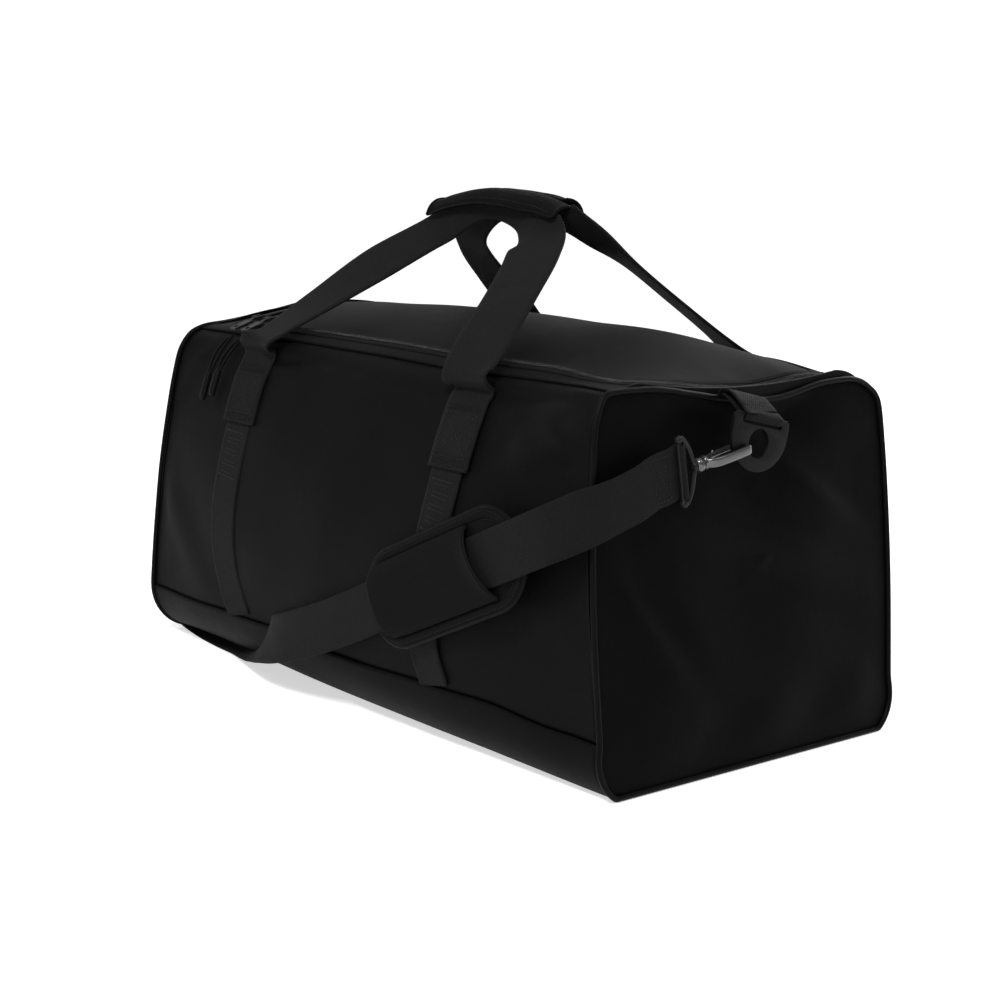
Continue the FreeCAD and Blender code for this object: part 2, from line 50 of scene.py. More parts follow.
def link(name, data):
    obj = bpy.data.objects.new(name, data)
    bpy.context.scene.collection.objects.link(obj)
    return obj


# Camera
def make_camera():
    """Camera at the three-quarter view, a little above the bag."""
    az, el, roll = (math.radians(a) for a in (47.92, 10.05, 2.23))
    fwd = Vector((-math.sin(az) * math.cos(el), math.cos(az) * math.cos(el), -math.sin(el)))
    right = Vector((math.cos(az), math.sin(az), 0))
    up = right.cross(fwd)
    r = right * math.cos(roll) + up * math.sin(roll)
    u = up * math.cos(roll) - right * math.sin(roll)
    data = bpy.data.cameras.new("camera")
    data.lens = 68.18
    data.sensor_width = 36
    camera = link("camera", data)
    m = Matrix((r, u, -fwd)).transposed().to_4x4()
    m.translation = Vector((1.1196, -1.0137, 0.4157))
    camera.matrix_world = m
    bpy.context.scene.camera = camera


# Numbers shared by the pieces, in millimetres
HALF_LENGTH = 280.7
CLOTH_T = 1.4          # thickness of the padded shell cloth
SKIN_INSET = 2.2       # gap between the long skins and the end planes
LEAN = {1: 0.1128, -1: 0.1323}
SHOULDER_Y, SHOULDER_Z, SHOULDER_R = 104.0, 230.0, 48.0
LID_X = (-222.0, 232.0)
LID_Y = -113.0
LID_CORNER = 26.0
LID_REAR = 107.5
LEG_X = (-136.0, 124.0)    # middle of the webbing legs
FRAME_REAR = 111.0     # rear end of the top strips
END_GAP = 2.0          # gap between the top strips and the end planes

# x, half width on the floor, floor height, lower corner (y, z), side start (y, z), belly, crest
SECTIONS = np.array([
    (-300, 96, 5.0, 139, 13, 156, 44, 154, 290),
    (-262, 96, 4.5, 138, 14, 156, 45, 157, 291),
    (-150, 104, 0.4, 143, 14, 163, 46, 172, 296),
    (-60, 108, 0.0, 148, 13, 167, 46, 176, 299),
    (60, 114, 0.0, 150, 12, 167, 46, 176, 300),
    (150, 122, 0.0, 150, 11, 164, 46, 172, 297),
    (250, 132, 0.0, 148, 9, 155, 40, 157, 270),
    (300, 133, 0.0, 148, 9, 154, 40, 154, 264),
], float)


def smooth_rows(x):
    """Section numbers at each x, joined by smooth curves."""
    xs = SECTIONS[:, 0]
    x = np.asarray(x, float)
    slopes = np.gradient(SECTIONS[:, 1:], xs, axis=0)
    i = np.clip(np.searchsorted(xs, x) - 1, 0, len(xs) - 2)
    h = xs[i + 1] - xs[i]
    t = np.clip((x - xs[i]) / h, 0, 1)[..., None]
    h = h[..., None]
    a, b = SECTIONS[i, 1:], SECTIONS[i + 1, 1:]
    return ((2 * t**3 - 3 * t**2 + 1) * a + (t**3 - 2 * t**2 + t) * h * slopes[i]
            + (3 * t**2 - 2 * t**3) * b + (t**3 - t**2) * h * slopes[i + 1])


def arc(a, b, c, t):
    """Points on the circle through a, b and c, with t from 0 at a to 1 at c."""
    ax, ay, bx, by, cx, cy = a[0], a[1], b[0], b[1], c[0], c[1]
    d = 2 * (ax * (by - cy) + bx * (cy - ay) + cx * (ay - by))
    ux = ((ax**2 + ay**2) * (by - cy) + (bx**2 + by**2) * (cy - ay) + (cx**2 + cy**2) * (ay - by)) / d
    uy = ((ax**2 + ay**2) * (cx - bx) + (bx**2 + by**2) * (ax - cx) + (cx**2 + cy**2) * (bx - ax)) / d
    r = np.hypot(ax - ux, ay - uy)
    a0 = np.arctan2(ay - uy, ax - ux)
    sweep = np.arctan2(cy - uy, cx - ux) - a0
    mid = np.arctan2(by - uy, bx - ux) - a0
    sweep = np.mod(sweep, 2 * np.pi)
    mid = np.mod(mid, 2 * np.pi)
    sweep = np.where(mid > sweep, sweep - 2 * np.pi, sweep)
    ang = a0 + sweep * t
    return ux + r * np.cos(ang), uy + r * np.sin(ang)


def bump(v, centre, width):
    return np.exp(-((v - centre) / width) ** 2)


def folds(x, y, z):
    """How far the cloth stands out of its plain shape, from soft folds and sag."""
    out = 1.3 * np.sin(x / 47 + 0.6 * np.sin(z / 60)) * np.sin(z / 71 + 1.1 + y * 0.002)
    out += 0.8 * np.sin(x / 23 + z / 39 + 0.5) * np.sin(z / 33 - x / 90)
    out += 0.5 * np.sin(x / 13.5 - z / 21) * bump(z, 60, 55)
    front = y < 0
    # stiff bulge right of the shoulder strap's start, and broad slack in the middle of the face
    lean = (z - 224) - 0.22 * (x - 180)
    begins = 1 + np.tanh((x - 178) / 8)
    stiff = bump(lean, 0, np.where(lean > 0, 19, 9)) * begins * bump(x, 214, 40)
    out += np.where(front, 4.2 * stiff - 3.0 * bump(lean, -22, 12) * bump(x, 205, 44), 0)
    out += np.where(front, 3.4 * bump(0.8 * (x + 225) + 0.6 * (z - 110), 0, 20) * bump(z, 120, 60), 0)
    out -= np.where(front, 2.2 * bump(0.9 * (x - 20) - 0.44 * (z - 130), 0, 26) * bump(z, 140, 44), 0)
    # soft pulls towards the strap corner and the handle ends
    u = (x - 232) * 0.5 + (z - 236) * 0.86
    w = (x - 232) * 0.86 - (z - 236) * 0.5
    pulled = 2.6 * bump(u, 0, 9) * bump(w, 0, 44) - 2.2 * bump(u, -17, 9) * bump(w, 4, 40)
    out += np.where(front, pulled, 0)
    for cx in LEG_X:
        out -= 1.6 * bump(x, cx, 30) * bump(z, 215, 60)
    u = (x + 236) * 0.62 - (z - 232) * 0.78
    w = (x + 236) * 0.78 + (z - 232) * 0.62
    out += 1.8 * bump(u, 0, 8) * bump(w, 0, 38) - 1.3 * bump(u, 16, 9) * bump(w, 0, 36)
    crease = 256 - 3.5 * np.sin(x / 37.0)
    deep = bump(x, -100, 42) + bump(x, 178, 46) + 0.45
    out += np.where(front, (1.5 * bump(z, crease + 9, 6) - 2.3 * bump(z, crease, 4)) * deep, 0)
    out += np.where(front, 2.2 * bump(x - 0.5 * (z - 215), 190, 26) * bump(z, 222, 26), 0)
    return out


# heights of the top edge at the two ends, as (y, z) pairs
RIGHT_TOP = np.array([(-157, 263.5), (-146, 268.5), (-128, 270.5), (-90, 270.5), (-50, 264),
                      (-17, 259), (28, 257), (57, 261.5), (78, 266.5), (120, 268.5),
                      (139, 261.5), (152, 246)], float)
LEFT_TOP = np.array([(-152, 256), (-132, 270), (-101, 273), (-55, 281), (-23, 288), (0, 289),
                     (23, 288), (55, 281), (101, 273), (132, 270), (152, 256)], float)


def top_drop(x, y, z):
    """Brings the top near both ends to the heights of the end edges."""
    out = np.zeros(np.shape(x))
    for table, at_x, reach in ((RIGHT_TOP, 251.0, 78.0), (LEFT_TOP, -244.0, 62.0)):
        grid = np.linspace(-152, 152, 121)
        want = blur(np.interp(grid, table[:, 0], table[:, 1]), 4)
        ang = np.clip((np.abs(grid) - SHOULDER_Y) / SHOULDER_R, 0, 0.999)
        plain = np.where(np.abs(grid) <= SHOULDER_Y, top_surface(np.full(121, at_x), grid),
                         SHOULDER_Z + SHOULDER_R * np.sqrt(1 - ang**2))
        gap = np.interp(y, grid, (want - plain) * np.clip((152 - np.abs(grid)) / 14, 0, 1))
        near = np.clip(1 - (at_x - x) * np.sign(at_x) / reach, 0, 1)
        out = out + gap * near * near * (3 - 2 * near)
    return out * np.clip((z - 236) / 26, 0, 1)


def finish_points(x, y, z):
    """Adds folds and the top's drop to points of the plain skin."""
    d = folds(x, y, z) * np.clip((z - 4) / 30, 0, 1)
    fade = np.clip((end_x(1, z) - x) / 26, 0, 1) * np.clip((x - end_x(-1, z)) / 26, 0, 1)
    d = d * (0.15 + 0.85 * fade)
    rad_y, rad_z = y / 150, (z - 150) / 140
    n = np.sqrt(rad_y**2 + rad_z**2) + 1e-6
    top = np.clip((z - 262) / 14, 0, 1)
    side = 1 - 0.55 * top
    z_new = z + d * side * rad_z / n + top_drop(x, y, z)
    return x, y + d * side * rad_y / n, np.maximum(z_new, 0.25)


def half_section(x, s, side):
    """Plain skin of one half: s 0-1 floor, 1-2 lower corner, 2-3 side, 3-4 shoulder, 4-5 top."""
    x, s = np.broadcast_arrays(np.asarray(x, float), np.asarray(s, float))
    flat, floor, ly, lz, sy, sz, belly, crest = np.moveaxis(smooth_rows(x), -1, 0)
    start = math.radians(20)
    sh = (SHOULDER_Y + SHOULDER_R * math.cos(start), SHOULDER_Z + SHOULDER_R * math.sin(start))
    y = np.zeros_like(x)
    z = np.zeros_like(x)
    t = np.clip(s, 0, 1)
    y0, z0 = flat * t, floor
    y1, z1 = arc((flat, floor), (ly, lz), (sy, sz), np.clip(s - 1, 0, 1))
    y2, z2 = arc((sy, sz), (belly, 140.0), sh, np.clip(s - 2, 0, 1))
    ang = np.radians(20 + 70 * np.clip(s - 3, 0, 1))
    y3, z3 = SHOULDER_Y + SHOULDER_R * np.cos(ang), SHOULDER_Z + SHOULDER_R * np.sin(ang)
    y4 = SHOULDER_Y * (1 - np.clip(s - 4, 0, 1))
    z4 = top_surface(x, y4, crest)
    for low, (yy, zz) in enumerate(((y0, z0), (y1, z1), (y2, z2), (y3, z3), (y4, z4))):
        inside = (s >= low) if low == 4 else (s >= low) & (s < low + 1)
        y = np.where(inside, yy, y)
        z = np.where(inside, zz, z)
    return x, side * y, z


def top_surface(x, y, crest=None):
    """Height of the plain skin over (x, y) near the top."""
    if crest is None:
        crest = smooth_rows(x)[..., 7]
    edge = SHOULDER_Z + SHOULDER_R
    ay = np.abs(y)
    dome = edge + (crest - edge) * (1 - (ay / SHOULDER_Y) ** 2)
    past = np.clip(ay - SHOULDER_Y, 0, 46)
    shoulder = SHOULDER_Z + np.sqrt(np.clip(SHOULDER_R**2 - past**2, 1, None))
    return np.where(ay <= SHOULDER_Y, dome, shoulder)


def skin_at(x, s, side, lift=0.0):
    """Finished skin point, moved out of the cloth by lift."""
    p = np.stack(finish_points(*half_section(x, s, side)), -1)
    if np.any(lift):
        e = 0.004
        q = np.stack(finish_points(*half_section(x, np.asarray(s) + e, side)), -1)
        r = np.stack(finish_points(*half_section(np.asarray(x) + 1.0, s, side)), -1)
        n = np.cross(r - p, q - p) * -side
        n = n / (np.linalg.norm(n, axis=-1, keepdims=True) + 1e-9)
        p = p + n * np.asarray(lift)[..., None]
    return p


def top_at(x, y, lift=0.0):
    """Finished point of the top over (x, y), moved up by lift."""
    def raw(xx, yy):
        return np.stack(finish_points(xx, yy, top_surface(xx, yy)), -1)
    x, y = np.broadcast_arrays(np.asarray(x, float), np.asarray(y, float))
    p = raw(x, y)
    n = np.cross(raw(x + 1, y) - p, raw(x, y + 1) - p)
    return p + unit(n) * np.asarray(lift)[..., None]


def end_x(side, z):
    return side * (HALF_LENGTH - LEAN[side] * z)


# Mesh helpers
def add_mesh(name, verts, faces, material, uv=None, smooth=True):
    """Object from points in millimetres, with optional UVs in metres for each point."""
    mesh = bpy.data.meshes.new(name)
    points = np.asarray(verts, float).reshape(-1, 3) * MM
    mesh.from_pydata(points.tolist(), [], [tuple(f) for f in faces])
    mesh.validate()
    if uv is not None:
        layer = mesh.uv_layers.new(name="UVMap")
        index = np.zeros(len(mesh.loops), int)
        mesh.loops.foreach_get("vertex_index", index)
        layer.data.foreach_set("uv", (np.asarray(uv, float).reshape(-1, 2)[index] * MM).ravel())
    mesh.materials.append(material)
    mesh.polygons.foreach_set("use_smooth", [smooth] * len(mesh.polygons))
    return link(name, mesh)


def grid_faces(rows, cols, close=False, flip=False, start=0):
    """Quads over a grid of points, closing the columns if asked."""
    faces = []
    last = cols if close else cols - 1
    for i in range(rows - 1):
        for j in range(last):
            a = start + i * cols + j
            b = start + i * cols + (j + 1) % cols
            quad = (a, b, b + cols, a + cols)
            faces.append(quad[::-1] if flip else quad)
    return faces


def cap_faces(rows, cols):
    """The two end faces of a closed run of rings."""
    return [tuple(range(cols))[::-1], tuple((rows - 1) * cols + j for j in range(cols))]


def bake(obj):
    """Makes an object's modifiers part of its mesh."""
    graph = bpy.context.evaluated_depsgraph_get()
    mesh = bpy.data.meshes.new_from_object(obj.evaluated_get(graph))
    obj.modifiers.clear()
    obj.data = mesh
    return obj


def thicken(obj, depth):
    """Gives a cloth skin its thickness, inwards."""
    mod = obj.modifiers.new("cloth", "SOLIDIFY")
    mod.thickness = depth * MM
    mod.offset = -1.0
    mod.use_rim = True
    return bake(obj)


def unit(v):
    """Vectors along the last axis, brought to length one."""
    return v / np.linalg.norm(v, axis=-1, keepdims=True)


def tangents(path):
    return unit(np.gradient(path, axis=0))


def lengths(points):
    """Distance walked along each row of points."""
    step = np.linalg.norm(np.diff(points, axis=0), axis=-1)
    return np.concatenate([[0], np.cumsum(step)])


def read_at(points, marks):
    """Rows of points, read at distances along the line of their first three columns."""
    along = lengths(points[:, :3])
    return np.stack([np.interp(marks, along, column) for column in points.T], -1)


def even_points(points, count):
    return read_at(points, np.linspace(0, lengths(points[:, :3])[-1], count))


def blur(values, reach):
    """Running mean over 2 * reach + 1 values, with the two ends held."""
    n = 2 * reach + 1
    return np.convolve(np.pad(values, reach, "edge"), np.ones(n) / n, "valid")


def grid_uv(u, v):
    return np.stack(np.broadcast_arrays(u, v), -1)


def turn_round(centre, a, b, radius, degrees):
    """Points on a circle round a bar, in the plane of two axes."""
    turns = [math.radians(deg) for deg in degrees]
    return [centre + a * radius * math.cos(t) + b * radius * math.sin(t) for t in turns]


def spline(points, count):
    """Smooth curve through control points, as a Catmull-Rom run sampled evenly by length."""
    p = np.asarray(points, float)
    p = np.vstack([2 * p[0] - p[1], p, 2 * p[-1] - p[-2]])
    fine = []
    for i in range(1, len(p) - 2):
        t = np.linspace(0, 1, 24, endpoint=False)[:, None]
        a, b, c, d = p[i - 1], p[i], p[i + 1], p[i + 2]
        fine.append(0.5 * (2 * b + (c - a) * t + (2 * a - 5 * b + 4 * c - d) * t**2
                           + (3 * b - a - 3 * c + d) * t**3))
    return even_points(np.vstack(fine + [p[-2][None]]), count)


def tube_points(path, radius, sides=10, closed=False, squash=1.0, up=(0, 0, 1)):
    """Rings of a tube along a path; squash flattens it across its second axis."""
    path = np.asarray(path, float)
    if closed:
        tang = np.roll(path, -1, 0) - np.roll(path, 1, 0)
    else:
        tang = np.gradient(path, axis=0)
    tang /= np.linalg.norm(tang, axis=1, keepdims=True) + 1e-9
    n = np.zeros_like(path)
    ref = np.asarray(up, float)
    first = ref - tang[0] * ref.dot(tang[0])
    if np.linalg.norm(first) < 1e-3:
        first = np.cross(tang[0], (1, 0, 0))
    n[0] = first / np.linalg.norm(first)
    for i in range(1, len(path)):
        v = n[i - 1] - tang[i] * n[i - 1].dot(tang[i])
        n[i] = v / np.linalg.norm(v)
    b = np.cross(tang, n)
    ang = np.arange(sides) / sides * 2 * np.pi
    radius = np.broadcast_to(np.asarray(radius, float), (len(path),))[:, None, None]
    return path[:, None] + radius * (np.cos(ang)[None, :, None] * n[:, None]
                                     + squash * np.sin(ang)[None, :, None] * b[:, None])


class Builder:
    """Collects many small solids into one mesh."""

    def __init__(self):
        self.verts, self.faces, self.count = [], [], 0

    def add(self, verts, faces):
        verts = np.asarray(verts, float).reshape(-1, 3)
        self.verts.append(verts)
        self.faces += [tuple(i + self.count for i in f) for f in faces]
        self.count += len(verts)

    def tube(self, path, radius, sides=8, closed=False, squash=1.0, up=(0, 0, 1)):
        rings = tube_points(path, radius, sides, closed, squash, up)
        n = len(rings)
        faces = grid_faces(n, sides, close=True)
        if closed:
            last = (n - 1) * sides
            faces += [(last + j, last + (j + 1) % sides, (j + 1) % sides, j) for j in range(sides)]
        else:
            faces += cap_faces(n, sides)
        self.add(rings, faces)

    def stitches(self, path, length=3.0, gap=1.3, radius=0.42, up=(0, 0, 1)):
        """Run of separate thread stitches along a path."""
        total = lengths(path)[-1]
        swell = np.array([0.35, 0.9, 1.0, 0.9, 0.35]) * radius
        at = 0.0
        while at + length < total:
            self.tube(read_at(path, at + np.linspace(0, length, 5)), swell, 6, up=up)
            at += length + gap

    def put(self, name, material, body, slot, *nodes):
        return settle(add_mesh(name, np.vstack(self.verts), self.faces, material), body, slot, *nodes)


# Materials
def set_inputs(node, values):
    for key, value in values.items():
        node.inputs[key].default_value = value


def new_material(name, rough=0.8, specular=0.3, sheen=0.0, metallic=0.0, coat=0.0):
    m = bpy.data.materials.new(name)
    m.use_nodes = True
    b = m.node_tree.nodes["Principled BSDF"]
    set_inputs(b, {"Roughness": rough, "Specular IOR Level": specular, "Sheen Weight": sheen,
                   "Sheen Roughness": 0.5, "Metallic": metallic, "Coat Weight": coat})
    return m, m.node_tree, b


def math_node(tree, op, a, b=None, clamp=False):
    n = tree.nodes.new("ShaderNodeMath")
    n.operation = op
    n.use_clamp = clamp
    for k, v in enumerate((a, b)):
        if v is None:
            continue
        if isinstance(v, (int, float)):
            n.inputs[k].default_value = v
        else:
            tree.links.new(v, n.inputs[k])
    return n.outputs[0]


def blend_values(tree, a, share_a, b, share_b):
    """Weighted sum of two shader values."""
    first = math_node(tree, "MULTIPLY", a, share_a)
    return math_node(tree, "ADD", first, math_node(tree, "MULTIPLY", b, share_b))


def noise(tree, vector, scale, detail=3.0, rough=0.55):
    n = tree.nodes.new("ShaderNodeTexNoise")
    set_inputs(n, {"Scale": scale, "Detail": detail, "Roughness": rough})
    tree.links.new(vector, n.inputs["Vector"])
    return n.outputs["Fac"]


def colour_between(tree, fac, dark, light):
    n = tree.nodes.new("ShaderNodeMix")
    n.data_type = "RGBA"
    set_inputs(n, {6: (*dark, 1), 7: (*light, 1)})
    tree.links.new(fac, n.inputs[0])
    return n.outputs[2]


def add_bump(tree, b, height, distance, strength=1.0, under=None):
    n = tree.nodes.new("ShaderNodeBump")
    set_inputs(n, {"Strength": strength, "Distance": distance})
    tree.links.new(height, n.inputs["Height"])
    if under is not None:
        tree.links.new(under, n.inputs["Normal"])
    tree.links.new(n.outputs["Normal"], b.inputs["Normal"])
    return n.outputs["Normal"]


def coordinates(tree, kind):
    n = tree.nodes.new("ShaderNodeTexCoord")
    return n.outputs[kind]


def split(tree, vector):
    n = tree.nodes.new("ShaderNodeSeparateXYZ")
    tree.links.new(vector, n.inputs[0])
    return n.outputs[0], n.outputs[1], n.outputs[2]


def wave(tree, value, per_metre, phase=0.0):
    """Sine ridges of one thread, from 0 to 1."""
    s = math_node(tree, "MULTIPLY", value, per_metre * 2 * math.pi)
    s = math_node(tree, "ADD", s, phase)
    s = math_node(tree, "MULTIPLY", math_node(tree, "SINE", s), 0.5)
    return math_node(tree, "ADD", s, 0.5)


THREADS = 1100.0      # threads of the plain weave in a metre
TWILL = 420.0         # twill ribs of the webbing in a metre


def plain_cloth(name, dark, light, rough, specular, sheen, uv=True):
    """Spun polyester: fine plain weave, slubs and a soft mottled colour."""
    m, tree, b = new_material(name, rough, specular, sheen)
    obj = coordinates(tree, "Object")
    if uv:
        u, v, _ = split(tree, coordinates(tree, "UV"))
    else:
        x, y, z = split(tree, obj)
        u = math_node(tree, "ADD", x, math_node(tree, "MULTIPLY", y, 0.7))
        v = math_node(tree, "ADD", z, math_node(tree, "MULTIPLY", y, 0.7))
    weave = math_node(tree, "MAXIMUM", wave(tree, u, THREADS), wave(tree, v, THREADS))
    slub = noise(tree, obj, 900.0, 2.0)
    mottle = noise(tree, obj, 26.0, 4.0)
    fine = noise(tree, obj, 240.0, 3.0)
    fac = blend_values(tree, mottle, 0.6, fine, 0.4)
    tree.links.new(colour_between(tree, fac, dark, light), b.inputs["Base Color"])
    height = math_node(tree, "ADD", math_node(tree, "MULTIPLY", weave, 0.6), slub)
    first = add_bump(tree, b, height, 0.00012, 0.7)
    soft = math_node(tree, "MULTIPLY", noise(tree, obj, 42.0, 3.0, 0.5), 1.0)
    add_bump(tree, b, soft, 0.0012, 0.35, first)
    return m


def webbing_cloth(name, dark, light, rough, specular, sheen):
    """Heavy webbing with a diagonal twill."""
    m, tree, b = new_material(name, rough, specular, sheen)
    u, v, _ = split(tree, coordinates(tree, "UV"))
    obj = coordinates(tree, "Object")
    ribs = wave(tree, math_node(tree, "ADD", u, v), TWILL)
    slant = math_node(tree, "SUBTRACT", u, math_node(tree, "MULTIPLY", v, 0.35))
    cross = wave(tree, slant, TWILL * 1.6)
    twill = blend_values(tree, ribs, 0.7, cross, 0.3)
    mottle = noise(tree, obj, 60.0, 4.0)
    fac = blend_values(tree, twill, 0.35, mottle, 0.65)
    tree.links.new(colour_between(tree, fac, dark, light), b.inputs["Base Color"])
    fibres = math_node(tree, "MULTIPLY", noise(tree, obj, 800.0, 2.0), 0.5)
    height = math_node(tree, "ADD", twill, fibres)
    first = add_bump(tree, b, height, 0.0003, 0.9)
    add_bump(tree, b, noise(tree, obj, 75.0, 2.0), 0.0008, 0.3, first)
    return m


def coated_metal(name, base, rough, specular, metallic=0.0, coat=0.0):
    """Black coated zinc with faint wear and an uneven gloss."""
    m, tree, b = new_material(name, rough, specular, 0.0, metallic, coat)
    obj = coordinates(tree, "Object")
    fac = noise(tree, obj, 180.0, 4.0)
    worn = tuple(c * 1.8 + 0.004 for c in base)
    tree.links.new(colour_between(tree, fac, base, worn), b.inputs["Base Color"])
    r = math_node(tree, "MULTIPLY", noise(tree, obj, 320.0, 3.0), 0.22)
    r = math_node(tree, "ADD", r, rough - 0.1)
    tree.links.new(r, b.inputs["Roughness"])
    add_bump(tree, b, noise(tree, obj, 700.0, 2.0), 0.00006, 0.4)
    return m


def moulded(name, base, rough=0.5, specular=0.22):
    m, tree, b = new_material(name, rough, specular)
    obj = coordinates(tree, "Object")
    light = tuple(c * 1.6 for c in base)
    fac = noise(tree, obj, 90.0, 3.0)
    tree.links.new(colour_between(tree, fac, base, light), b.inputs["Base Color"])
    add_bump(tree, b, noise(tree, obj, 1200.0, 2.0), 0.00008, 0.5)
    return m


def grey(value, blue=0.0001):
    """Very dark grey, a trace bluer than neutral."""
    return (value, value, round(value + blue, 6))


CLOTH = plain_cloth("shell_cloth", grey(0.0014), grey(0.0027), 0.62, 0.044, 0.0)
# Shell cloth for the end panels at about half the body cloth's colour: painted shade, for the ends that
# face away from the key light.
END_CLOTH_PAINTED_SHADE = plain_cloth("end_cloth_painted_shade", grey(0.0007), grey(0.0013), 0.62, 0.032, 0.0)
PIPING = plain_cloth("piping_cloth", grey(0.0011), grey(0.002), 0.45, 0.05, 0.0, uv=False)
WEB = webbing_cloth("webbing_cloth", grey(0.0032), grey(0.0068, 0.0002), 0.78, 0.055, 0.015)
PADDED = plain_cloth("pad_cloth", grey(0.0012), grey(0.0023), 0.75, 0.05, 0.005)
THREAD = plain_cloth("thread", grey(0.0045), grey(0.008, 0.0002), 0.6, 0.12, 0.02, uv=False)
TAPE = plain_cloth("zip_tape_cloth", grey(0.002), grey(0.0035), 0.75, 0.05, 0.0)
COIL = moulded("zip_coil_nylon", grey(0.009, 0.0002), 0.25)
METAL = coated_metal("hardware_black", grey(0.003), 0.42, specular=0.12, coat=0.03)
PLATE = coated_metal("plate_black", grey(0.0012), 0.4, specular=0.06)
NICKEL = coated_metal("hook_nickel", grey(0.05, 0.002), 0.2, specular=0.5, metallic=0.75, coat=0.3)
RUBBER = moulded("pull_rubber", grey(0.0016), 0.5, 0.06)


def settle(obj, body, slot, *nodes):
    """Attaches a finished piece to the body it rides on and hides the nodes it stands for; the finish
    (slot) is not used.
    """
    if nodes:
        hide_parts(*nodes)
    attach(obj, body)
    return obj


# Bag body
def outline(side):
    """Points round one end, where the skins meet the end panel: bottom, front, top, back."""
    spans = [k + np.linspace(0, 1, count, endpoint=False) for k, count in enumerate((30, 44, 90, 44))]
    s = np.concatenate([*spans, 4 + np.linspace(0, 1, 46)])
    x = np.full(len(s), end_x(side, 130.0))
    for _ in range(6):
        p = skin_at(x, s, -1)
        x = end_x(side, p[:, 2])
    front = skin_at(x, s, -1)
    s_back = s[::-1][1:-1]
    x_back = x[::-1][1:-1]
    for _ in range(4):
        x_back = end_x(side, skin_at(x_back, s_back, 1)[:, 2])
    rim = np.vstack([front, skin_at(x_back, s_back, 1)])
    for _ in range(3):
        rim = sum(np.roll(rim, k, 0) for k in (2, 1, 0, -1, -2)) / 5
    return rim


def skin_patch(name, side, s_values):
    """Part of the skin between the two ends, over a run of the section coordinate."""
    s = np.asarray(s_values, float)
    probe = skin_at(np.full(len(s), 0.0), s, side)
    z = probe[:, 2]
    x0, x1 = end_x(-1, z) + SKIN_INSET, end_x(1, z) - SKIN_INSET
    cols = int(round((x1.max() - x0.min()) / 4.0))
    t = np.linspace(0, 1, cols)
    x = x0[:, None] + (x1 - x0)[:, None] * t[None]
    p = skin_at(x, np.repeat(s[:, None], cols, 1), side)
    uv = grid_uv(x, lengths(probe)[:, None])
    return add_mesh(name, p, grid_faces(len(s), cols, flip=side > 0), CLOTH, uv)


RIM_Y = 131.0     # the long top edges of the front and back skins end here, on the shoulder
RIM_S = 3 + (math.degrees(math.acos((RIM_Y - SHOULDER_Y) / SHOULDER_R)) - 20) / 70


def body_skins():
    seam = 2.0
    up = np.concatenate([np.linspace(seam, 3, 58, endpoint=False), np.linspace(3, RIM_S, 14)])
    down = np.concatenate([np.linspace(0, 1, 12, endpoint=False), np.linspace(1, seam, 22)])
    front = thicken(skin_patch("front_skin", -1, up), CLOTH_T)
    settle(front, "bag", "shell_fabric", "front_panel")
    to_hinge = 3 + (math.degrees(math.acos((111.0 - SHOULDER_Y) / SHOULDER_R)) - 20) / 70
    up_back = np.concatenate([np.linspace(seam, 3, 58, endpoint=False), np.linspace(3, to_hinge, 20)])
    back = thicken(skin_patch("back_skin", 1, up_back), CLOTH_T)
    settle(back, "bag", "shell_fabric", "back_panel")
    s = np.concatenate([-down[::-1][:-1], down])
    probe_x = np.linspace(0, 1, 140)
    rows = []
    for value in s:
        side = -1 if value < 0 else 1
        z = float(skin_at(np.array([0.0]), np.array([abs(value)]), side)[0, 2])
        x0, x1 = end_x(-1, z) + 2.2, end_x(1, z) - 2.2
        rows.append(skin_at(x0 + (x1 - x0) * probe_x, np.full(140, abs(value)), side))
    p = np.array(rows)
    uv = grid_uv(p[..., 0], lengths(p[:, 70])[:, None])
    bottom = thicken(add_mesh("bottom_skin", p, grid_faces(len(s), 140), CLOTH, uv), CLOTH_T)
    settle(bottom, "bag", "shell_fabric", "bottom_panel")


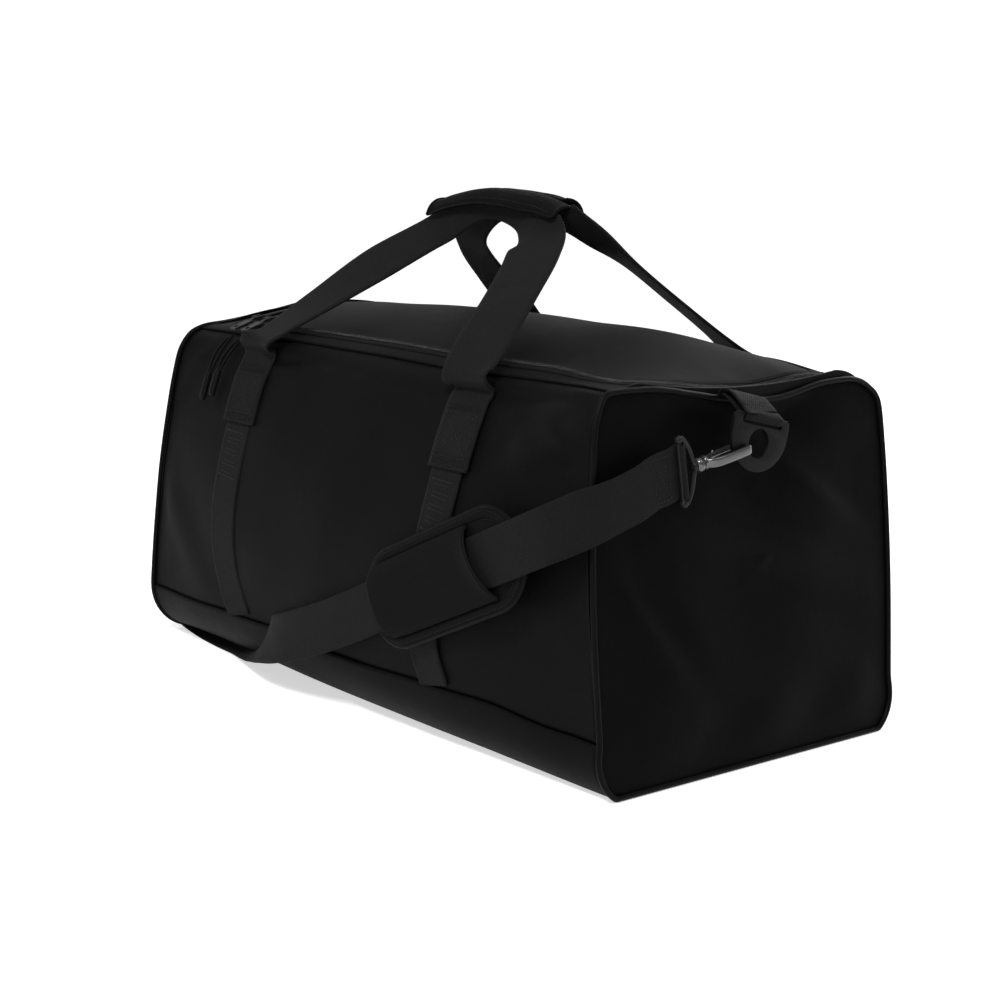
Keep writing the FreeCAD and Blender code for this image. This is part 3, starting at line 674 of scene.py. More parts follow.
def end_panels():
    for name, side in (("right", 1), ("left", -1)):
        rim = outline(side)
        centre = np.array([0, 0, 138.0])
        rings = 46
        t = 1 - 0.9 * np.linspace(0, 1, rings) ** 1.1
        pts = []
        for k in range(rings):
            ring = centre + (rim - centre) * t[k]
            y, z = ring[:, 1], ring[:, 2]
            depth = 1 - t[k]
            swell = 5.5 * math.sin(min(depth * 1.7, 1) * math.pi / 2)
            dent = 0
            if side > 0:
                hollows = bump(y, -66, 34) + 0.8 * bump(y, 44, 26)
                dent = -8.0 * hollows * bump(z, 247, 17) * min(depth * 14, 1)
                dent = dent - 4.0 * bump(y, 0, 70) * bump(z, 225, 30) * min(depth * 8, 1)
            pull = (y - 30) * 0.45 + (z - 205) * 0.89
            wrap = (y - 30) * 0.89 - (z - 205) * 0.45
            soft = 4.5 * bump(0.35 * (y + 60) + 0.94 * (z - 190), 0, 14) * bump(y, 30, 66)
            soft = soft - 4.0 * bump(0.35 * (y + 60) + 0.94 * (z - 190), -26, 15) * bump(y, 20, 64)
            sag = 0.8 * (y + 118) + 0.6 * (z - 118)
            soft = soft + (4.0 * bump(sag, 0, 11) - 3.4 * bump(sag, 22, 12)) * bump(z, 118, 46)
            dent = dent + soft * min(depth * 5, 1)
            crease = 2.4 * bump(pull, 0, 11) - 1.6 * bump(pull, 19, 10)
            dent = dent + crease * bump(wrap, 50, 48) * min(depth * 5, 1)
            wrinkle = 1.5 * np.sin(y / 19 + z / 41) * np.sin(z / 27 + 0.8) * min(depth * 4, 1)
            wrinkle += 1.2 * np.sin((z + y * 0.4) / 11.0) * bump(z, 226, 34) * min(depth * 5, 1)
            low = np.sin(y / 15.0 + 0.4 * np.sin(z / 14)) * bump(z, 30, 30)
            wrinkle += 0.9 * low * min(depth * 5, 1)
            x = end_x(side, z) - side * 0.4 + side * (swell + dent + wrinkle)
            pts.append(np.stack([x, y, z], -1))
        pts = np.array(pts)
        n = len(rim)
        faces = grid_faces(rings, n, close=True, flip=side > 0)
        verts = np.vstack([pts.reshape(-1, 3), pts[-1].mean(0)[None]])
        base = (rings - 1) * n
        fan = [(base + (j + 1) % n, base + j, len(verts) - 1) for j in range(n)]
        faces += fan if side > 0 else [f[::-1] for f in fan]
        uv = verts[:, 1:3]
        # the end panels take the darker copy of the shell cloth, whose colour holds painted shade
        panel = thicken(add_mesh("end_skin_" + name, verts, faces, END_CLOTH_PAINTED_SHADE, uv), CLOTH_T)
        settle(panel, "bag", "shell_fabric", "end_panel_" + name)
        cord = Builder()
        core = rim.copy()
        core += unit((rim - centre) * np.array([0, 1, 1])) * 1.2
        core[:, 2] = np.maximum(core[:, 2], 2.6)
        core[:, 0] = end_x(side, core[:, 2]) + side * 0.4
        cord.tube(core, 2.2, 12, closed=True)
        cord.put("piping_cord_" + name, PIPING, "bag", "binding_fabric", "piping_" + name)


# Zipper line
def zip_line(grow, rear=LID_REAR - 3, step=3.0):
    """Points of the zipper line, moved outwards by grow: up the left, along the front, up the right."""
    r = LID_CORNER + grow
    x0, x1, y0 = LID_X[0] - grow, LID_X[1] + grow, LID_Y - grow
    rc = max(r, 0.01)
    cy = LID_Y + LID_CORNER
    n_side = int((rear - LID_Y - LID_CORNER) / step)
    n_front = int((LID_X[1] - LID_X[0] - 2 * LID_CORNER) / step)
    side_y = np.linspace(rear, cy, n_side, endpoint=False)
    left = np.stack([np.full(n_side, x0), side_y], -1)
    a = np.linspace(np.pi, 1.5 * np.pi, 16, endpoint=False)
    c0 = np.stack([LID_X[0] + LID_CORNER + rc * np.cos(a), cy + rc * np.sin(a)], -1)
    fx = np.linspace(LID_X[0] + LID_CORNER, LID_X[1] - LID_CORNER, n_front, endpoint=False)
    front = np.stack([fx, np.full(n_front, y0)], -1)
    a = np.linspace(1.5 * np.pi, 2 * np.pi, 16, endpoint=False)
    c1 = np.stack([LID_X[1] - LID_CORNER + rc * np.cos(a), cy + rc * np.sin(a)], -1)
    right = np.stack([np.full(n_side, x1), np.linspace(cy, rear, n_side)], -1)
    return np.vstack([left, c0, front, c1, right])


def zip_strip(name, inner, outer, lift, body, slot, nodes, crown=0.0):
    """Band that follows the zipper line between two distances from it."""
    rows = 6
    grow = np.linspace(inner, outer, rows)
    pts = []
    for k, g in enumerate(grow):
        line = zip_line(g)
        rise = lift + crown * math.sin(math.pi * k / (rows - 1))
        pts.append(top_at(line[:, 0], line[:, 1], rise))
    pts = np.array(pts)
    uv = grid_uv(lengths(pts[0]), grow[:, None])
    faces = grid_faces(rows, pts.shape[1], flip=outer < inner)
    strip = thicken(add_mesh(name, pts, faces, TAPE, uv), 0.7)
    return settle(strip, body, slot, *nodes)


def top_frame():
    """Fixed cloth between the zipper tape and the bag's top edges."""
    inner = zip_line(6.5, rear=FRAME_REAR)
    n = len(inner)
    x_l, x_r = end_x(-1, 276) + END_GAP, end_x(1, 268) - END_GAP
    outer = inner.copy()
    cy = LID_Y + LID_CORNER
    n_side = int((FRAME_REAR - cy) / 3.0)
    outer[:n_side, 0] = x_l
    outer[-n_side:, 0] = x_r
    t = np.linspace(0, 1, 16, endpoint=False)
    corners = ((slice(n_side, n_side + 16), x_l, LID_X[0] + LID_CORNER, t),
               (slice(n - n_side - 16, n - n_side), x_r, LID_X[1] - LID_CORNER, 1 - t))
    for part, x_edge, x_turn, tt in corners:
        outer[part, 0] = np.where(tt < 0.5, x_edge, x_edge + (x_turn - x_edge) * (tt - 0.5) * 2)
        outer[part, 1] = np.where(tt < 0.5, cy + (-RIM_Y - cy) * tt * 2, -RIM_Y)
    outer[n_side + 16:n - n_side - 16, 1] = -RIM_Y
    rows = 9
    pts = []
    for share in np.arange(rows) / (rows - 1):
        q = inner + (outer - inner) * share
        p = top_at(q[:, 0], q[:, 1])
        # the strip meets the leaning end panels, whose place depends on the height
        for side, x_edge in ((-1, x_l), (1, x_r)):
            at_end = np.abs(outer[:, 0] - x_edge) < 1e-6
            p[:, 0] += np.where(at_end, (end_x(side, p[:, 2]) - side * END_GAP - x_edge) * share, 0)
        pts.append(p)
    pts = np.array(pts)
    strip = add_mesh("top_strip_skin", pts, grid_faces(rows, n), CLOTH, pts[..., :2])
    settle(thicken(strip, CLOTH_T), "bag", "shell_fabric", "top_strip_left", "top_strip_right")


def lid_skin():
    """U-shaped flap, as rows from its rounded front edge to the hinge."""
    r = LID_CORNER - 6.0
    cy = LID_Y + LID_CORNER
    bend = cy - r * np.cos(np.linspace(0, np.pi / 2, 16))
    ys = np.concatenate([bend, np.linspace(cy, LID_REAR - 1, 66)[1:]])
    half = np.sqrt(np.clip(r * r - np.clip(cy - ys, 0, r) ** 2, 0, None))
    x0, x1 = LID_X[0] + LID_CORNER - half, LID_X[1] - LID_CORNER + half
    cols = 140
    flat = np.linspace(0, 1, cols)
    # columns crowd towards both ends, where the corners turn
    t = flat - 0.72 * np.sin(2 * np.pi * flat) / (2 * np.pi)
    x = x0[:, None] + (x1 - x0)[:, None] * t
    uv = grid_uv(x, ys[:, None])
    obj = add_mesh("lid_skin", top_at(x, ys[:, None]), grid_faces(len(ys), cols), CLOTH, uv)
    thicken(obj, CLOTH_T)
    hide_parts("lid_panel", "lid_hinge_cord")
    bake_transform(obj)
    return obj


def zipper():
    zip_strip("tape_outer", 0.9, 9.5, 0.5, "bag", "zip_tape", ["zip_tape_outer"])
    zip_strip("tape_lid", -0.9, -9.5, 0.5, "lid", "zip_tape", ["zip_tape_lid"])
    # turned fabric edges that lie on the tapes
    zip_strip("turned_edge_outer", 3.6, 8.6, 1.1, "bag", "shell_fabric", [], crown=0.3)
    zip_strip("turned_edge_lid", -3.6, -8.6, 1.1, "lid", "shell_fabric", [], crown=0.3)
    for name, sign, body in (("outer", 1, "bag"), ("lid", -1, "lid")):
        b = Builder()
        line = zip_line(sign * 1.3, step=1.5)
        path = top_at(line[:, 0], line[:, 1], 1.5)
        pitch = 2.1
        total = lengths(path)[-1]
        t = np.linspace(0, total, int(total / pitch) * 8)
        centre = read_at(path, t)
        tang = tangents(centre)
        across = unit(np.cross(tang, (0, 0, 1)))
        up = np.cross(across, tang)
        phase = t / pitch * 2 * np.pi + (0 if sign > 0 else np.pi)
        wire = centre + across * (np.cos(phase) * 1.15)[:, None]
        wire += up * (np.sin(phase) * 0.75)[:, None]
        b.tube(wire, 0.42, 5)
        b.put("coil_" + name, COIL, body, "zip_coil", "zip_coil_" + name)
    for name, x in (("left", LID_X[0]), ("right", LID_X[1])):
        b = Builder()
        y = np.linspace(LID_REAR - 4.0, LID_REAR - 0.8, 5)
        path = top_at(np.full(5, x), y, 1.7)
        b.tube(path, [0.7, 1.15, 1.25, 1.15, 0.7], 8, squash=2.1)
        b.put("end_stop_" + name, METAL, "bag", "zip_coil", "zip_stop_" + name)
    for name, sign, body in (("outer", 1, "bag"), ("lid", -1, "lid")):
        b = Builder()
        line = zip_line(sign * 7.4)
        b.stitches(top_at(line[:, 0], line[:, 1], 1.55), 2.4, 1.2, 0.2)
        b.put("zip_stitching_" + name, THREAD, body, "shell_fabric")


# Webbing
BASE_T, HANDLE_T, STRAP_T = 1.7, 2.4, 1.5    # thickness of the legs, the handles and the strap
STRAP_HALF = 19.0                            # half width of the shoulder strap


def band(name, route, thickness, spacing=3.0, crown=0.0):
    """Webbing band through (centre, across, half width), with rounded edges."""
    ctrl = np.array([[*c, *w, h] for c, w, h in route], float)
    total = lengths(ctrl[:, :3])[-1]
    s = spline(ctrl, max(int(total / spacing), 8))
    c, w, h = s[:, :3], s[:, 3:6], s[:, 6]
    tang = tangents(c)
    w = unit(w - tang * np.sum(w * tang, 1, keepdims=True))
    n = np.cross(tang, w)
    half = thickness / 2
    u = np.linspace(-1, 1, 13)
    top = [(v, half * (1 + crown * (1 - v * v))) for v in u[1:-1]]
    edge_r = [(1.0, 0.55 * half), (1.012, 0.0), (1.0, -0.55 * half)]
    low = [(v, -half) for v in u[::-1][1:-1]]
    edge_l = [(-1.0, -0.55 * half), (-1.012, 0.0), (-1.0, 0.55 * half)]
    turn_u, turn_h = 0.985, half * 0.93
    ring = np.array([(-turn_u, turn_h)] + top + [(turn_u, turn_h)] + edge_r + [(turn_u, -turn_h)]
                    + low + [(-turn_u, -turn_h)] + edge_l)
    p = (c[:, None] + ring[None, :, 0, None] * h[:, None, None] * w[:, None]
         + ring[None, :, 1, None] * n[:, None])
    rows, cols = len(c), len(ring)
    faces = grid_faces(rows, cols, close=True) + cap_faces(rows, cols)
    uv = grid_uv(lengths(c)[:, None], ring[:, 0] * h[:, None])
    return add_mesh(name, p, faces, WEB, uv), (c, w, n, h)


def skin_line(x, z, side, lift):
    """Centre of a band lying on the front or back skin at given heights."""
    s = np.linspace(1.0, 4.0, 1200)
    pts = skin_at(np.full(1200, x), s, side)
    want = np.interp(z, pts[:, 2], s)
    return skin_at(np.full(len(want), x), want, side, lift)


def box_stitch(builder, centre, w, t, n, half_w, half_t, lift):
    """Stitched square with a cross."""
    corners = [(-1, -1), (1, -1), (1, 1), (-1, 1), (-1, -1), (1, 1)]
    runs = [(corners[i], corners[i + 1]) for i in range(4)] + [((-1, -1), (1, 1)), ((-1, 1), (1, -1))]
    for a, b in runs:
        p = np.array([centre + w * half_w * q[0] + t * half_t * q[1] + n * lift for q in (a, b)])
        path = p[0] + (p[1] - p[0]) * np.linspace(0, 1, 12)[:, None]
        builder.stitches(path, 2.2, 0.9, 0.34, up=tuple(n))


DRIFT_Z = [47, 58, 75, 100, 140, 190, 250]
DRIFT = {"left": [7, 2, -5, -8, -6, -2, 0], "right": [-3, -8, -12, -11, -7, -2, 0]}


def base_webbing():
    for face, side in (("front", -1), ("rear", 1)):
        for name, x in zip(("left", "right"), LEG_X):
            z = np.linspace(47.6, 250, 74)
            xs = x + blur(np.interp(z, DRIFT_Z, DRIFT[name]), 4)
            pts = np.array([skin_line(xx, np.array([zz]), side, 1.15)[0] for xx, zz in zip(xs, z)])
            route = [(p, (1, 0, 0), 16.0) for p in pts]
            node = "webbing_%s_%s" % (face, name)
            obj, (c, w, n, h) = band(node + "_band", route, BASE_T)
            settle(obj, "bag", "webbing", node)
            b = Builder()
            flip = -1 if n[len(n) // 2][1] * side < 0 else 1
            for edge in (-1, 1):
                b.stitches(c + w * (h[:, None] - 2.0) * edge + n * flip * 0.88, 2.4, 1.3, 0.22)
            # ladder of bar tacks below the sewn patch
            for k, at in enumerate(np.linspace(196, 160, 9)):
                i = int(np.argmin(np.abs(c[:, 2] - at)))
                half = 12.0 if k in (0, 8) else 8.5
                line = c[i] + w[i] * np.linspace(-half, half, 14)[:, None] + n[i] * flip * 0.85
                b.tube(line, 0.5 if k in (0, 8) else 0.36, 6, up=tuple(n[i]))
            b.put(node + "_stitching", THREAD, "bag", "webbing")


HANDLE_ROUTES = {
    "front": [
        ((-135, -149.5, 269), (1, -0.03, 0), 22.0), ((-129, -136, 278), (0.96, -0.2, 0.0), 23.0),
        ((-116, -101, 302), (0.95, -0.22, -0.15), 24.0), ((-95, -60, 333), (0.93, -0.15, -0.3), 24.0),
        ((-67, -23, 361), (0.75, -0.3, -0.5), 20.0), ((-42, -15, 377), (0.3, -0.1, -0.9), 14.0),
        ((-17, -13, 384), (0, 0, -1), 11.5), ((10, -13, 382), (-0.2, 0, -0.95), 12.5),
        ((34, -16, 376), (-0.7, 0, -0.6), 17.0), ((57, -27, 363), (-1, 0, -0.1), 23.0),
        ((80, -54, 346), (-1, 0, 0.02), 24.0), ((99, -90, 321), (-1, 0, 0.05), 24.0),
        ((114, -128, 291), (-0.98, 0, 0.12), 24.0), ((122, -149.5, 269), (-1, 0, 0.03), 23.0),
    ],
    "rear": [
        ((-134, 150.5, 267), (1, 0, 0), 24.0), ((-128, 128, 288), (1, 0, 0), 24.0),
        ((-116, 94, 312), (0.98, 0.1, -0.1), 24.0), ((-100, 56, 336), (0.9, 0.2, -0.3), 24.0),
        ((-79, 24, 360), (0.7, 0.3, -0.6), 20.0), ((-46, 13, 377), (0.3, 0.1, -0.9), 14.0),
        ((-17, 12, 384), (0, 0, -1), 11.5), ((34, 13, 381), (0, 0, -1), 12.0),
        ((62, 20, 368), (-0.5, 0.4, -0.75), 13.0), ((82, 46, 345), (-0.88, 0.45, -0.06), 19.0),
        ((101, 86, 313), (-0.92, 0.36, 0.1), 23.0), ((119, 122, 284), (-0.95, 0.2, 0.15), 24.0),
        ((124, 150.5, 266), (-1, 0, 0), 24.0),
    ],
}


def carry_handles():
    for name, side in (("front", -1), ("rear", 1)):
        route = HANDLE_ROUTES[name]
        z = np.array([203.5, 214, 226, 238, 250, 259])
        left = skin_line(LEG_X[0], z, side, 3.2)
        right = skin_line(LEG_X[1], z, side, 3.2)
        start = [(p, (1, 0, 0), 20.5) for p in left]
        end = [(p, (-1, 0, 0), 20.5) for p in right[::-1]]
        obj, (c, w, n, _) = band("handle_strap_" + name, start + route + end, HANDLE_T, crown=0.05)
        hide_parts("handle_" + name,
                    *["handle_anchor_%s_%s" % (name, k) for k in ("left", "right")])
        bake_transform(obj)
        b = Builder()
        low = c[:, 2] < 252
        for part in (low & (c[:, 0] < 0), low & (c[:, 0] > 0)):
            i = np.where(part)[0]
            k = i[len(i) // 2]
            t = unit(c[i[-1]] - c[i[0]])
            out = n[k] * (1 if n[k][1] * side > 0 else -1)
            box_stitch(b, c[k], w[k], t, out, 16.5, 16.0, 1.3)
            for at in (-19.5, -21.0, 19.5, 21.0):
                zig = np.linspace(-17, 17, 36)
                teeth = at + 0.9 * (-1.0) ** np.arange(36)
                row = c[k] + w[k] * zig[:, None] + t * teeth[:, None] + out * 1.35
                b.tube(row, 0.28, 5, up=tuple(out))
        b.put("handle_stitching_" + name, THREAD, "bag", "webbing")


# Grip
def grip_wrap():
    """Thin padded saddle over both handles, in a front and a rear half."""
    for name, side, body in (("front", -1, "handle_front"), ("rear", 1, "handle_rear")):
        grip_half(name, side, body)


def grip_half(name, side, body):
    """One padded half of the grip; the rear half is a little shorter at the right."""
    xs = np.linspace(-80, 68 if side < 0 else 54, 64)
    arch = np.interp(xs, [-82, -74, -62, -42, -17, 12, 38, 56, 69],
                     [-14.0, -11.0, -6.5, -2.5, 0, -0.5, -3.5, -8.5, -14.0])
    arch = blur(arch, 3)
    hang = np.interp(xs, [-82, -70, -20, 30, 69], [0.95, 1.0, 0.95, 1.05, 0.6])
    reach = np.interp(xs, [-82, -72, 60, 69], [0.97, 1.0, 1.0, 0.95])
    profile = [(0.2, 397, 0), (6, 397.2, 0), (12, 396.2, 0), (16.6, 393.6, 0),
               (20.0, 389.4, 0), (21.8, 384.6, 0)]
    m = 24
    base = spline(np.array(profile), m)[:, :2]
    tang = np.gradient(base, axis=0)
    nrm = unit(np.stack([tang[:, 1], -tang[:, 0]], -1))
    width = np.linspace(0, 1, m)
    outer, inner = [], []
    for i, x in enumerate(xs):
        end = min(i, len(xs) - 1 - i) / 4.0
        puff = 1 - math.exp(-end * 0.55)
        rim = np.clip((1 - width) * 5, 0, 1) ** 0.55
        quilt = 0.9 * np.sin(x / 11.0 + width * 2.2) * width * (1 - width) * 2
        q = base.copy()
        q[:, 0] *= reach[i]
        q[:, 1] = 397 + (q[:, 1] - 397) * hang[i] + arch[i]
        q = q - nrm * ((1 - puff) * 1.6 - quilt * puff)[:, None]
        thick = 1.5 + 3.4 * puff * rim
        k = q + nrm * thick[:, None]
        k[:, 0] = np.clip(k[:, 0], 0.2, None)
        q[:, 0] = np.clip(q[:, 0], 0.2, None)
        outer.append(np.stack([np.full(m, x), side * q[:, 0], q[:, 1]], -1))
        inner.append(np.stack([np.full(m, x), side * k[:, 0], k[:, 1]], -1)[::-1])
    loop = np.concatenate([np.array(outer), np.array(inner)], 1)
    rows, cols = loop.shape[:2]
    faces = grid_faces(rows, cols, close=True, flip=side < 0)
    faces += [f if side > 0 else f[::-1] for f in cap_faces(rows, cols)]
    uv = grid_uv(lengths(loop[:, 0])[:, None], lengths(loop[0]))
    wrap = add_mesh("grip_wrap_" + name, loop, faces, PADDED, uv)
    settle(wrap, body, "pad_fabric", "grip_cover_" + name, "grip_foam_" + name)
    skin = np.array(outer)
    b = Builder()
    edge = np.vstack([skin[0, 3:], skin[1:-1, -1], skin[-1, 3:][::-1]])
    edge = spline(edge[::2], 150)
    b.tube(edge, 0.95, 8)
    b.put("grip_binding_" + name, PIPING, body, "pad_fabric")
    b = Builder()
    b.stitches(skin[3:-3, -5] + np.array([0, side * 0.12, 0.1]), 2.4, 1.1, 0.26)
    b.put("grip_stitching_" + name, THREAD, body, "pad_fabric")


# Shoulder strap and pad
RUN_TOP = np.array((236.0, -184.0, 175.5))
RUN_LOW = np.array((20.0, -184.0, 74.0))
LEFT_FOOT = np.array((-302.0, -90.0, 22.0))
BAR_TURN = 3.4         # radius of the strap's turn round each bar


def hook_frame(side):
    """Nose centre of a snap hook, with its pull, inward and third axes."""
    tilt, angle, bar = (12, 12, (274, -9, 250)) if side > 0 else (20, 20, (-274, 0, 251))
    t, a = math.radians(tilt), math.radians(angle)
    pull = np.array((0, -math.cos(a), -math.sin(a)) if side > 0 else (0, -math.sin(a), -math.cos(a)))
    up = np.array((0, math.sin(t), math.cos(t)))
    out = np.array((side, 0, 0), float)
    nose = np.array(bar, float) - up * 18 + pull * 12 - out * 4
    return nose, pull, -out, np.cross(pull, -out), np.array(bar, float), up, np.cross(up, out)


def shoulder_strap():
    nose_r, pull_r, inn_r = hook_frame(1)[:3]
    nose_l, pull_l, inn_l = hook_frame(-1)[:3]
    bar_r, bar_l = nose_r + pull_r * 61, nose_l + pull_l * 61
    rise = np.array((-0.4254, 0, 0.905))
    up_r = (0, -0.2079, 0.9781)
    side_l = (0, 0.94, -0.342)
    run_l = unit(LEFT_FOOT - bar_l)
    turns = (300, 250, 200, 150, 100, 60)
    route = [(p, up_r) for p in turn_round(bar_r, pull_r, inn_r, BAR_TURN, turns)]
    route += [
        (bar_r + pull_r * 12 + inn_r * 0.6, up_r),
        (bar_r + pull_r * 26, up_r),
        ((270.5, -125, 205.5), (0, -0.2, 0.98)), ((268.5, -150, 197.5), (0, -0.1, 0.99)),
        ((262, -166, 191.5), (-0.2, -0.05, 0.98)), ((252, -176, 184.5), (-0.35, 0, 0.94)),
        (RUN_TOP, rise), (RUN_TOP * 0.66 + RUN_LOW * 0.34, rise),
        (RUN_TOP * 0.33 + RUN_LOW * 0.67, rise),
        (RUN_LOW, rise),
        ((-30, -182.5, 54.5), (-0.42, 0.05, 0.9)), ((-62, -178, 44), (-0.4, 0.2, 0.88)),
        ((-90, -167, 35.5), (-0.3, 0.5, 0.8)), ((-114, -152, 26), (-0.15, 0.75, 0.62)),
        ((-140, -136, 14.5), (0.05, 0.9, 0.42)), ((-170, -124, 6), (0.2, 0.96, 0.2)),
        ((-205, -119, 2.6), (0.25, 0.96, 0.06)), ((-245, -112, 1.2), (0.3, 0.95, 0)),
        ((-290, -99, 0.9), (0.45, 0.88, 0)),
        ((-298.5, -94, 8), (0.25, 0.97, 0)), (LEFT_FOOT, side_l),
        (LEFT_FOOT + (bar_l - LEFT_FOOT) * 0.4, side_l),
        (LEFT_FOOT + (bar_l - LEFT_FOOT) * 0.8, side_l),
        (bar_l + run_l * 10 - inn_l * 0.6, side_l),
    ]
    route += [(p, side_l) for p in turn_round(bar_l, pull_l, inn_l, BAR_TURN, turns[::-1])]
    route = [(p, v, STRAP_HALF) for p, v in route]
    obj, (c, w, n, _) = band("shoulder_strap_band", route, STRAP_T, spacing=2.4)
    settle(obj, "bag", "webbing", "shoulder_strap")
    b = Builder()
    along = lengths(c)
    for lo, hi in ((24, 38), (along[-1] - 38, along[-1] - 24)):
        k = int(np.argmin(np.abs(along - (lo + hi) / 2)))
        t = unit(c[k + 1] - c[k])
        for sign in (-1, 1):
            box_stitch(b, c[k], w[k], t, n[k] * sign, 15.0, 7.0, 0.85)
    b.put("strap_stitching", THREAD, "bag", "webbing")


PAD_MIDDLE = -4.1     # depth of the pad's middle below the strap's centre line


def pad_frame():
    run = unit(RUN_TOP - RUN_LOW)
    centre = RUN_LOW + (RUN_TOP - RUN_LOW) * 0.56
    rise = np.cross(run, (0, 1, 0))
    rise = rise if rise[2] > 0 else -rise
    return centre, run, np.array((0, -1.0, 0)), rise


PAD_LENGTH, PAD_HALF, PAD_CORNER = 88.0, 36.0, 35.0
PAD_SIDES = 160        # points round the pad's outline


def stadium_ring(inset):
    """Outline of the pad, a rounded slab, moved inwards."""
    l, h = PAD_LENGTH - inset, PAD_HALF - inset
    r = max(PAD_CORNER - inset, 1.0)
    pts = []
    for quarter, (u, v) in enumerate(((1, 1), (-1, 1), (-1, -1), (1, -1))):
        cx, cy, a0 = u * (l - r), v * (h - r), quarter * 90
        for k in range(12):
            a = math.radians(a0 + 90 * k / 11)
            pts.append((cx + r * math.cos(a), cy + r * math.sin(a)))
    pts = np.array(pts + pts[:1])
    return even_points(pts, PAD_SIDES + 1)[:-1]


def pad_point(a, b, d):
    """Point of the pad: a along the strap, b across it, d outwards from its centre line."""
    centre, run, out, rise = pad_frame()
    return centre + np.multiply.outer(a, run) + np.multiply.outer(b, rise) + np.multiply.outer(d, out)


def pad_ring(inset, depth):
    q = stadium_ring(inset)
    return pad_point(q[:, 0], q[:, 1], np.full(len(q), depth))


def pad_cushion():
    """Padded slab as rings of its front and back face, with its bound edge."""
    insets = [0, 0.5, 1.2, 2, 3, 4, 5, 6, 7, 7.8, 8.5, 9.2, 10, 12, 15, 20, 25, 30, 34]
    swell_at = [0, 1.2, 3, 5, 7, 8.5, 10, 15, 25, 34]
    front = [0, 1.7, 2.6, 2.9, 2.2, 0.9, 1.3, 2.6, 2.9, 2.9]
    back = [0, 1.7, 2.4, 2.8, 2.95, 3, 3, 3, 3, 3]
    verts = [pad_ring(d, min(PAD_MIDDLE + np.interp(d, swell_at, front), -1.15)) for d in insets]
    verts += [pad_ring(d, PAD_MIDDLE - np.interp(d, swell_at, back)) for d in insets]
    uvs = [stadium_ring(d) for d in insets] * 2
    n, k = PAD_SIDES, len(insets)
    faces = grid_faces(k, n, close=True) + grid_faces(k, n, close=True, flip=True, start=k * n)
    faces.append(tuple((k - 1) * n + j for j in range(n)))
    faces.append(tuple((2 * k - 1) * n + j for j in range(n))[::-1])
    obj = add_mesh("pad_cover_skin", np.vstack(verts), faces, PADDED, np.vstack(uvs))
    weld = obj.modifiers.new("weld", "WELD")
    weld.merge_threshold = 0.05 * MM
    bake(obj)
    settle(obj, "pad", "pad_fabric", "pad_cover", "pad_foam")
    b = Builder()
    b.tube(pad_ring(0.2, PAD_MIDDLE), 1.7, 12, closed=True, up=(0, 1, 0))
    b.put("pad_binding", PIPING, "pad", "pad_fabric")


def pad_sleeve():
    """Sleeve over the strap, sewn along its two long edges and open at both ends."""
    b = Builder()
    for inset, depth, radius in ((8.5, -3.1, 0.26), (2.6, -1.5, 0.2)):
        path = pad_ring(inset, depth)
        b.stitches(np.vstack([path, path[:1]]), 2.4, 1.2, radius, up=(0, 1, 0))
    cols, rows = 70, 40
    av, vv = np.meshgrid(np.linspace(-1, 1, cols), np.linspace(-1, 1, rows))
    curve_r = 44.0 - 7.0 * vv + 4.0 * vv**2
    curve_l = -76.0 + 7.0 * np.abs(vv) ** 3 - 3.0 * vv
    along = curve_l + (curve_r - curve_l) * (av + 1) / 2
    across = 27.6 * vv * (1 - 0.05 * np.clip(-av, 0, 1) ** 4)
    lift = 1.55 + 2.7 * (1 - np.abs(vv) ** 2.6) + 0.45 * np.sin(along / 15.0) * (1 - vv**2)
    open_r = np.clip((av - 0.72) / 0.28, 0, 1) ** 2 * 3.2 * (1 - vv**2)
    pts = pad_point(along, across, lift + open_r - 2.6 * np.abs(vv) ** 8)
    faces = grid_faces(rows, cols, flip=True)
    sleeve = add_mesh("pad_sleeve_skin", pts, faces, PADDED, grid_uv(along, across))
    settle(thicken(sleeve, 1.0), "pad", "pad_fabric", "pad_sleeve")
    out = pad_frame()[2]
    for row in (1, rows - 2):
        b.stitches(pts[row] + out * 0.3, 2.6, 1.2, 0.3, up=(0, 1, 0))
    b.put("pad_stitching", THREAD, "pad", "pad_fabric")
    b = Builder()
    for col in (0, cols - 1):
        b.tube(pts[:, col], 0.9, 8)
    b.put("pad_sleeve_hems", PIPING, "pad", "pad_fabric")


# Zipper pulls
PULLS = {
    "a": [(-168, -139.6, 268.6), (-168.5, -148, 263.5), (-169.5, -157, 252.5), (-171, -163.5, 238),
          (-173, -166.5, 222)],
    "b": [(-184, -139.6, 268.6), (-184.5, -147, 263.5), (-186, -154.5, 252), (-188.5, -160, 236),
          (-192, -163, 216)],
}


def route_line(route, count):
    """Points read evenly along the NURBS curve of a route."""
    curve = bpy.data.curves.new("route", "CURVE")
    curve.dimensions = "3D"
    line = curve.splines.new("NURBS")
    line.points.add(len(route) - 1)
    for point, place in zip(line.points, route):
        point.co = (*(c * MM for c in place), 1)
    line.order_u = 3
    line.use_endpoint_u = True
    line.resolution_u = 24
    obj = link("route", curve)
    mesh = bpy.data.meshes.new_from_object(obj)
    pts = np.array([v.co[:] for v in mesh.vertices]) / MM
    bpy.data.objects.remove(obj)
    bpy.data.meshes.remove(mesh)
    return even_points(pts, count)


